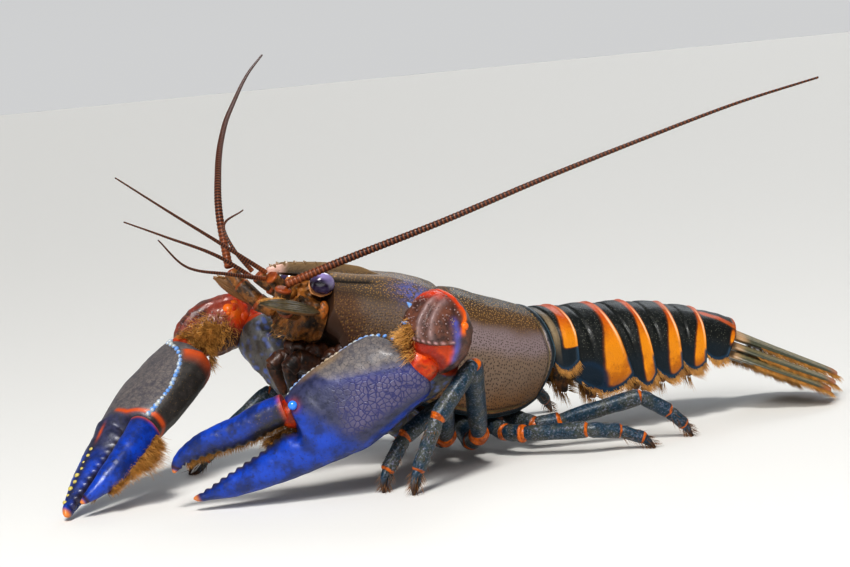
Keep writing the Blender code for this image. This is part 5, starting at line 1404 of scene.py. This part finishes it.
def ringMarks(k, share, reach, edge):
    # share runs back along a ring, reach from the middle of the back down to the edge of the lobe
    if k == 0:
        width, last = 0.34 + 0.14 * ease(reach, 0.2, 0.5), 0.62
    else:
        width = 0.17 + 0.25 * ease(reach, 0.25, 0.62) + 0.05 * ease(reach, 0.62, 0.8) - 0.015 * k
        last = 0.90
    band = ease(share, 1 - width - 0.16, 1 - width + 0.08) * fall(reach, last, last + 0.085)
    teal, tan = 0.55 * ease(reach, 0.86, 0.97), 0
    if k == 0:
        tan = ease(share, 0.10, 0.16) * fall(share, 0.34, 0.40) * hill(reach, 0.42, 0.26)
    if k == 1:
        away = np.hypot((share - 0.22) / 0.32, (reach - 0.84) / 0.18)
        teal = np.maximum(teal, 0.35 * fall(away, 0.9, 1.1) + 0.65 * hill(away, 0.86, 0.18))
    if k == 5:
        band = 0.8 * ease(share, 0.88, 0.98) * fall(reach, 0.20, 0.28)
        band = band + hill(share, 0.93, 0.07) * hill(reach, 0.46, 0.12)
        band = np.maximum(band, hill(reach, 0.13 + 0.16 * share, 0.055) * ease(share, 0.05, 0.2))
    return {"band": band, "reach": reach, "edge": edge, "teal": teal, "tan": tan,
            # rear: a near-black line along the ring's rear edge, painted shade of the gap to the next ring
            "rear": ease(share, 0.955, 0.985) * ease(reach, 0.1, 0.3) * (k < 5),
            # shine: a painted highlight near the top of the band's rear edge
            "shine": hill(share, 0.93, 0.022) * hill(reach, 0.34, 0.17) * (k < 5)}


def tailRings(finish, hair):
    # t runs from -1 at the left lobe over the back to 1; to |t| = 0.6 a ring arches, y = half sin(angle) and
    # drop = arch (1 - cos(angle)), then its lobe hangs by the rest of its depth, deepest at mid length by
    # sin^0.6; an inner wall and the belly plate close it, and hairs fringe both lobes
    rows, columns = tail["grid"]
    t = np.linspace(-1, 1, columns)[None, :]
    reach, side = np.abs(t), np.sign(t)
    hang = np.clip((reach - 0.6) / 0.4, 0, 1)
    angle = np.minimum(reach / 0.6, 1) * math.pi / 2
    share = np.linspace(0, 1, rows)[:, None]
    roots, ways = [], []
    for k, depth in enumerate(tail["lobes"]):
        name = "tail_ring_%d" % (k + 1)
        scale = tail["step"] + (1 - tail["step"]) * np.minimum(1, share * 1.6)
        lobe = depth * (0.60 + 0.40 * np.sin(math.pi * (share * 0.80 + 0.10)) ** 0.6)
        arch, belly = 0.56 * depth, tail["belly"] * depth + tail["bellyMore"]
        drop = arch * (1 - np.cos(angle)) + (lobe - arch) * hang + (1 - scale) * 8
        innerDrop = np.where(reach > 0.66, np.maximum(drop, belly), belly)
        start, end = tail["ends"][k:k + 2]
        half = curve(tail["halfWidth"])(start + (end - start) * share) * scale
        y = half * (np.sin(angle) + 0.03 * hang)
        innerY = np.minimum(y - 1.5 + 0.7 * hang, (half - 1.5) * np.minimum(1, reach / 0.66))
        outer = tailPoint(ringX(k, share, drop), side * y, drop)
        inner = tailPoint(ringX(k, share, innerDrop), side * innerY, innerDrop)
        rings = np.concatenate([outer, inner[:, ::-1]], axis=1)
        length = np.linalg.norm(outer[-1] - outer[0], axis=-1)[None, :]
        fromLow = np.cumsum(np.linalg.norm(np.diff(outer, axis=1, prepend=outer[:, :1]), axis=2), axis=1)
        edge = np.minimum(np.minimum(fromLow, fromLow[:, -1:] - fromLow), (1 - share) * length + 0.3)
        hinge = 0.2 * hill(share, 0.36, 0.05) * fall(reach, 0.55, 0.7) * (k < 5)
        rim = 0.12 * hill(edge, 0.55, 0.4) * ease(reach, 0.6, 0.7) + 0.16 * hill(share, 0.97, 0.05)
        height = rim - hinge + 0.05 * lumps(outer, 3.0, 50 + k)
        lift = np.concatenate([height, 0 * height], axis=1) * ease(share, 0, 0.05) * fall(share, 0.97, 1)
        rings = raised(rings, lift)
        marks = {key: np.concatenate([value + 0 * drop, 0 * drop], axis=1)
                 for key, value in ringMarks(k, share, reach, edge).items()}
        setInPlace(name, skin(rings, marks), finish)
        for column in (1, columns - 2):
            count = lobeHair["count"]
            pick = chance.integers(4, rows - 3, count)
            roots.append(outer[pick, column] + chance.normal(0, 0.05, (count, 3)) + (0, 0, 0.25))
            ways.append(np.array([0.35, 0.0, -1.0]) + chance.normal(0, 0.16, (count, 3)))
    setHair("lobe_fringe", roots, ways, lobeHair, hair)


def fanFinish():
    # olive leaves, streaked along, with a dark rim and a rusty far end
    made = Finish("fanLeaf", "fan")
    across, far, rim = made.mark("across"), made.mark("far"), made.mark("rim")
    grain = made.noise(1.5, 5, 0.6)
    streak = made.node("ShaderNodeMath", {"operation": "SINE"}, {0: across * 26.0})
    made.ground((138, 124, 88), (92, 92, 70), grain.rise(0.35, 0.65))
    made.layer((150, 132, 100), (streak * 0.5 + 0.5) * 0.2)
    made.layer((44, 52, 40), rim.rise(0.75, 0.95) * 0.8)
    made.layer((190, 152, 112), far.rise(0.22, 0.06) * 0.85)
    made.layer((176, 96, 34), far.rise(0.78, 0.97) * 0.85)
    made.paint(0.38 + 0.15 * grain, 0.35, streak * 0.3 + grain * 0.6, 0.12)
    return made


fan = {
    # along each leaf: distance from its root, half width and thickness of the middle leaf and of the others
    "lengths": (0.3, 3.4, 8.6, 14.8, 20.6, 24.0), "way": (0.878, -0.206, -0.432), "root": (0.9, -3.2),
    "telson": ((3.4, 3.9, 4.2, 4.0, 3.4, 1.9), (1.9, 1.7, 1.4, 1.2, 1.0, 0.7)),
    "leaf": ((1.5, 2.5, 3.5, 3.9, 3.4, 1.7), (1.2, 1.2, 1.1, 1.0, 0.9, 0.7)),
    # name, spread to the side, drop below the root, shift to the side and part of the length
    "kinds": (("inner", 0.14, 2.0, 2.4, 0.92), ("outer", 0.26, 3.7, 3.2, 0.87)), "grid": (80, 44),
}
fanHair = {"count": 620, "long": (1.0, 2.3), "wide": 0.12, "sag": (0, 0, -0.15)}


def fanLeaf(name, root, way, across, lengths, sizes, finish):
    # a leaf with q = -1 to 1 across it: its middle rises by 0.4 (1 - q q), its two skins part by the
    # thickness times (1 - 0.97 q q)^0.5, one rib runs down the middle and a low one beside each half's
    # middle
    way = unit(way)
    across = unit(across - (across @ way) * way)
    normal = np.cross(way, across)
    rows, columns = fan["grid"]
    share = np.linspace(0, 1, rows)
    length = np.interp(share, np.linspace(0, 1, len(lengths)), lengths)
    halfAt, deepAt = (curve(list(zip(lengths, row))) for row in sizes)
    half = (halfAt(length) * (1 - 0.55 * ease(share, 0.93, 1.0) ** 2))[:, None]
    deep = (deepAt(length) * (1 - 0.5 * ease(share, 0.93, 1)))[:, None]
    q = np.sin(np.linspace(-1, 1, columns) * math.pi / 2)[None, :]
    crown, rise = deep / 2 * np.sqrt(1 - 0.97 * q ** 2), 0.4 * (1 - q ** 2)
    rib = 0.2 * hill(q, 0, 0.09) + 0.1 * hill(np.abs(q), 0.45, 0.07)
    middle = root + length[:, None, None] * way + (q * half)[..., None] * across
    top = middle + (rise + crown + rib)[..., None] * normal
    bottom = middle + (rise - crown)[..., None] * normal
    both = np.hstack([q, q[:, ::-1]])
    setInPlace(name, skin(np.concatenate([top, bottom[:, ::-1]], axis=1),
                       {"across": both, "far": share[:, None], "rim": np.abs(both)}), finish)
    return {"root": root, "way": way, "across": across, "normal": normal, "length": lengths[-1],
            "half": halfAt}


def tailFan(finish, hair):
    # the middle leaf and two leaves at each side, with hairs round their rims and ends
    place, back, _, up = tailFrame(np.array(tail["ends"][-1]))
    root = place + fan["root"][0] * back + fan["root"][1] * up
    way, lengths = unit(fan["way"]), np.array(fan["lengths"])
    across = unit(np.cross((0, 0, 1), way))
    leaves = [fanLeaf("telson", root, way, across, lengths, fan["telson"], finish)]
    for name, hand in (("left", -1), ("right", 1)):
        for kind, spread, drop, shift, reach in fan["kinds"]:
            start = root + hand * shift * across - drop * up
            leaves.append(fanLeaf("uropod_%s_%s" % (kind, name), start, way + hand * spread * across, across,
                                  lengths * reach, fan["leaf"], finish))
    roots, ways, count = [], [], fanHair["count"]
    for leaf in leaves:
        far = chance.uniform(0.22, 1.0, count)
        sign = chance.choice([-1.0, 1.0], count)
        inner = sign * np.where(far > 0.94, chance.uniform(0, 1, count), 0.97)
        length = far * leaf["length"]
        roots.append(leaf["root"] + length[:, None] * leaf["way"]
                     + (0.95 * inner * leaf["half"](length))[:, None] * leaf["across"])
        ways.append(leaf["way"] + (0.45 * inner)[:, None] * leaf["across"] - 0.42 * leaf["normal"]
                    + chance.normal(0, 0.10, (count, 3)))
    setHair("fan_fringe", roots, ways, fanHair, hair)


def keelFinish():
    made = Finish("underside", "underside")
    grain = made.noise(0.9, 5, 0.6)
    made.ground((66, 34, 20), (112, 62, 36), grain.rise(0.35, 0.65))
    made.paint(0.5, 0.1, grain, 0.3)
    return made


chestUnder = {"span": (1.5, 36.5), "halfWidth": 5.0, "below": 3.6, "above": 2.6, "power": 0.6,
              "plateLength": 5.6, "plateAt": 7.0}


def keel(finish):
    # squarish rings (sine and cosine to the power 0.6) carried along the hem's line, shallower at both
    # ends, with a wave for the plates between the legs and a groove along the middle
    start, end = chestUnder["span"]
    u = np.linspace(start, end, 70)[:, None]
    low = hemLine(u) - chestUnder["below"] + 1.2 * hill(u, start, 2.5) + 0.8 * hill(u, end, 2.5)
    high = hemLine(u) + chestUnder["above"]
    angle = spokes(56)
    across, rise = (squarish(bent(angle), chestUnder["power"]) for bent in (np.cos, np.sin))
    rings = headPoint(u, (low + high) / 2 + (high - low) / 2 * rise, chestUnder["halfWidth"] * across)
    beat = np.cos(2 * math.pi * (u - chestUnder["plateAt"]) / chestUnder["plateLength"])
    height = (0.3 * beat - 0.5 * hill(across, 0, 0.12)) * (rise < 0) + 0.12 * lumps(rings, 2.4, 61)
    setInPlace("chest_underside", skin(raised(rings, height)), finish)


mouthParts = {
    # joints of the mouth leg as u, v and y in turn, with its sizes across
    "leg": ((36.8, 45.2, 46.6, 44.2), (-17.0, -15.4, -17.2, -21.6), (2.6, 3.2, 3.3, 2.6)),
    "legSizes": (3.6, 3.6, 3.0, 1.2),
    # u, v and y of each palp's middle, then its half sizes along, aside and up
    "palps": ((41.6, -13.6, 2.3, 2.6, 1.7, 1.7), (38.6, -14.2, 2.8, 2.8, 2.0, 2.0),
              (44.2, -13.4, 1.5, 1.6, 1.2, 1.5), (36.2, -12.8, 4.6, 2.6, 1.8, 2.4)),
    "palpTilt": 0.43,
}


def mouthLegs(finish):
    # three articles at each side, that run ahead under the mouth and turn down
    u, v, y = (np.array(row) for row in mouthParts["leg"])
    for name, side in (("mouth_leg_left", -1), ("mouth_leg_right", 1)):
        leg = articles(headPoint(u, v, side * y), mouthParts["legSizes"], (0, 1, 0), seed=71)
        setInPlace(name, leg, finish)


def mouthPalps(finish):
    # jaws and palps crowd between the face and the mouth legs: uneven ovoids in pairs
    forms = []
    lean = mouthParts["palpTilt"]
    for side in (-1, 1):
        axes = np.array([headAhead * 0.9 - headUp * lean, (0.0, side, 0.0), headUp * 0.9 + headAhead * lean])
        for row, (u, v, y, *half) in enumerate(mouthParts["palps"]):
            rings = headPoint(u, v, side * y) + ballRings(26, 32) * half @ axes
            forms.append(skin(raised(rings, 0.3 * lumps(rings, 1.5, 80 + row))))
    setDown("mouth_palps", forms, finish)


swimmerets = {
    "length": 7.5, "shrink": 0.1,                 # each pair is a tenth of 7.5 mm shorter than the one before
    # down a blade: the drop is the first row plus the second one times the length; then back, aside and width
    "drop": (-1.0, 0.4, 0, 0, 0), "dropShare": (0, 0, 0.45, 0.85, 1.0), "back": (0.0, 0.1, 0.6, 1.6, 2.4),
    "aside": (4.6, 4.8, 5.6, 6.0, 6.1), "wide": ((0, 0.2, 0.6, 0.9, 1), (1.6, 2.2, 3.0, 2.2, 0.6)),
    "rings": 30,
}
swimmeretHair = {"count": 320, "long": (1.4, 3.0), "wide": 0.11, "sag": (0.2, 0, -0.1)}


def swimmeretBlades(blade, hair):
    # four pairs of flat tubes, a quarter as thick as wide, that hang from the belly plates, with hairs all
    # round
    forms, roots, ways = [], [], []
    rows, count = swimmerets["rings"], swimmeretHair["count"]
    for k in range(1, 5):
        long = swimmerets["length"] * (1 - swimmerets["shrink"] * k)
        belly = tail["belly"] * tail["lobes"][k] + tail["bellyMore"]
        drop = belly + np.array(swimmerets["drop"]) + np.array(swimmerets["dropShare"]) * long
        middle = (tail["ends"][k] + tail["ends"][k + 1]) / 2 + tail["lean"][k] * belly / 15.0 - 0.6
        for side in (-1, 1):
            x, y = middle + np.array(swimmerets["back"]), side * np.array(swimmerets["aside"])
            path = route(tailPoint(x, y, drop), rows)
            wide = np.interp(np.linspace(0, 1, rows), *swimmerets["wide"])
            forms.append(skin(ringsAlong(path, wide, wide * 0.25 + 0.2, (0, 1, 0), 28), {"joint": 0.15}))
            pick = chance.integers(6, rows, count)
            edge = chance.choice([-1.0, 1.0], count)
            down = unit(np.gradient(path, axis=0))
            spread = np.cross((0, 1.0, 0), down)[pick]
            roots.append(path[pick] + (edge * wide[pick] * 0.45)[:, None] * spread)
            ways.append(down[pick] + 0.7 * edge[:, None] * spread + chance.normal(0, 0.18, (count, 3)))
    setDown("swimmerets", forms, blade)
    setHair("swimmeret_fringe", roots, ways, swimmeretHair, hair)


brushes = {
    # stations along the hand, across, out, lean (across, along, out) and length of the hairs under the gape;
    # sink is how far they move away from the finger for each millimetre along
    "right": {"count": 3200, "along": (23.5, 36.5), "across": (6.0, 8.4), "out": (-2.34, -0.54),
              "lean": (0.82, 0.48, -0.30), "long": (2.4, 4.8), "sink": 0.15},
    "left": {"count": 900, "along": (22.2, 29.0), "across": (1.2, 3.2), "out": (-2.34, 0.18),
             "lean": (0.10, 0.50, -0.8), "long": (1.6, 3.4), "sink": 0},
    "fringe": {"count": 1300, "share": (0.06, 0.80), "out": (-1.6, -0.2), "lean": (-0.8, 0.55, -0.35),
               "long": (0.7, 1.8), "wide": 0.10, "sag": (0, 0, -0.1)},
    "ruff": {"count": 900, "half": (4.6, 3.6), "long": (1.2, 2.8), "wide": 0.11, "sag": (0, 0, -0.15)},
}


def clawBrushes(hand, hair):
    # dense bristles under the gape, a fringe along the movable finger's biting edge, and a ruff round the
    # wrist
    brush, fringe, ruff = brushes[hand.name], brushes["fringe"], brushes["ruff"]
    count = brush["count"]
    at = chance.uniform(*brush["along"], count)
    across = chance.uniform(*brush["across"], count) - brush["sink"] * (at - brush["along"][0])
    root = hand.point(at, across, chance.uniform(*brush["out"], count))
    ways = np.array(brush["lean"]) @ hand.axes + chance.normal(0, 0.16, (count, 3))
    swell = 0.40 + 0.85 * hill(at, brush["along"][0] + 3.6, 4.2)
    lengths = chance.uniform(*brush["long"], count) * swell
    forms = [bristles(root, ways, lengths, 0.12, chance.normal(0, 0.08, (count, 3)))]
    count = fringe["count"]
    share = chance.uniform(*fringe["share"], count)
    along, across = hand.fingerLine(share)
    root = hand.point(along, across - fingerAt(share)[:, 0] / 2 * 0.85, chance.uniform(*fringe["out"], count))
    ways = np.array(fringe["lean"]) @ hand.axes + chance.normal(0, 0.15, (count, 3))
    forms.append(bristles(root, ways, chance.uniform(*fringe["long"], count), fringe["wide"], fringe["sag"]))
    count = ruff["count"]
    turn = chance.uniform(0, 2 * math.pi, count)
    over, out = np.cos(turn), np.sin(turn)
    along = -0.5 + chance.normal(0, 0.5, count)
    root = hand.point(along, ruff["half"][0] * over + 0.6, ruff["half"][1] * out)
    ways = np.stack([over, 0.6 + 0 * over, out * 0.8], -1) @ hand.axes + chance.normal(0, 0.25, (count, 3))
    keep = over > 0.1
    forms.append(bristles(root[keep], ways[keep], chance.uniform(*ruff["long"], keep.sum()), ruff["wide"],
                          ruff["sag"]))
    setDown("claw_brush_" + hand.name, forms, hair)


wristTufts = {
    # way is ahead, aside and up from the middle of the wrist
    "left": {"count": 380, "way": (0.95, 0.22, 0.20), "spread": 0.11, "long": (0.8, 1.9)},
    "right": {"count": 2200, "way": (0.33, -0.90, 0.02), "spread": 0.24, "long": (0.7, 1.7)},
}


def wristTuft(hand, hair):
    # the wrist's own tuft of short curly hairs at its lower front, on the side that faces the hand
    arm, tuft, axes = hand.arm, wristTufts[hand.name], hand.wristAxes()
    count = tuft["count"]
    lean = unit(np.array(tuft["way"]) + chance.normal(0, tuft["spread"], (count, 3)))
    root = arm["wristBlock"] + (lean * arm["blockSize"]) @ axes
    ways = (lean + (0.5, 0, -0.2)) @ axes + chance.normal(0, 0.5, (count, 3))
    lengths = chance.uniform(*tuft["long"], count)
    tuft = bristles(root, ways, lengths, 0.13, chance.normal(0, 0.35, (count, 3)))
    setDown("claw_tuft_" + hand.name, tuft, hair)


floorShape = {"reach": 6.0, "sunk": 0.00002}       # in metres, just under the feet


def setFloor():
    made = Finish("paleFloor", "shell")
    made.colour = tint(226, 224, 220)
    made.paint(0.7)
    mesh = bpy.data.meshes.new("floor")
    reach, low = floorShape["reach"], -floorShape["sunk"]
    corners = [(-reach, -reach, low), (reach, -reach, low), (reach, reach, low), (-reach, reach, low)]
    mesh.from_pydata(corners, [], [(0, 1, 2, 3)])
    mesh.materials.append(made.material)
    floor = bpy.data.objects.new("floor", mesh)
    bpy.context.scene.collection.objects.link(floor)


def buildAll():
    setCamera()
    setLights()
    setFloor()
    print("camera, lamps and floor set")
    headSkin = headFinish()
    brownHair = hairFinish("brownBristle", (52, 30, 12), (140, 92, 42))
    goldHair = hairFinish("goldBristle", (116, 74, 28), (206, 152, 78))
    legSkin, membrane, armSkin, wristSkin = legFinish(), membraneFinish(), armFinish(), wristFinish()
    carapace(shellFinish())
    rostrum(rostrumFinish())
    faceBlock(headSkin)
    eyes(eyeFinish(), headSkin)
    print("chest and head made")
    leafSkin = fanFinish()
    feelerWhips(feelerFinish())
    feelerBases(headSkin, scaleFinish(), goldHair)
    keel(keelFinish())
    mouthSkin = mouthFinish()
    mouthLegs(mouthSkin)
    mouthPalps(mouthSkin)
    print("feelers and mouth made")
    walkingLegs(legSkin, brownHair)
    bead, knob = beadFinish(), knobFinish()
    for name in claws:
        hand = Hand(name)
        blue = clawFinish(name)
        armPieces(hand, armSkin)
        wristBlock(hand, wristSkin, membrane, bead)
        palm(hand, blue, bead, knob)
        movableFinger(hand, blue)
        clawBrushes(hand, goldHair)
        wristTuft(hand, goldHair)
    print("legs and claws made")
    tailRings(ringFinish(), goldHair)
    tailFan(leafSkin, goldHair)
    swimmeretBlades(headSkin, goldHair)
    print("tail made")


buildAll()
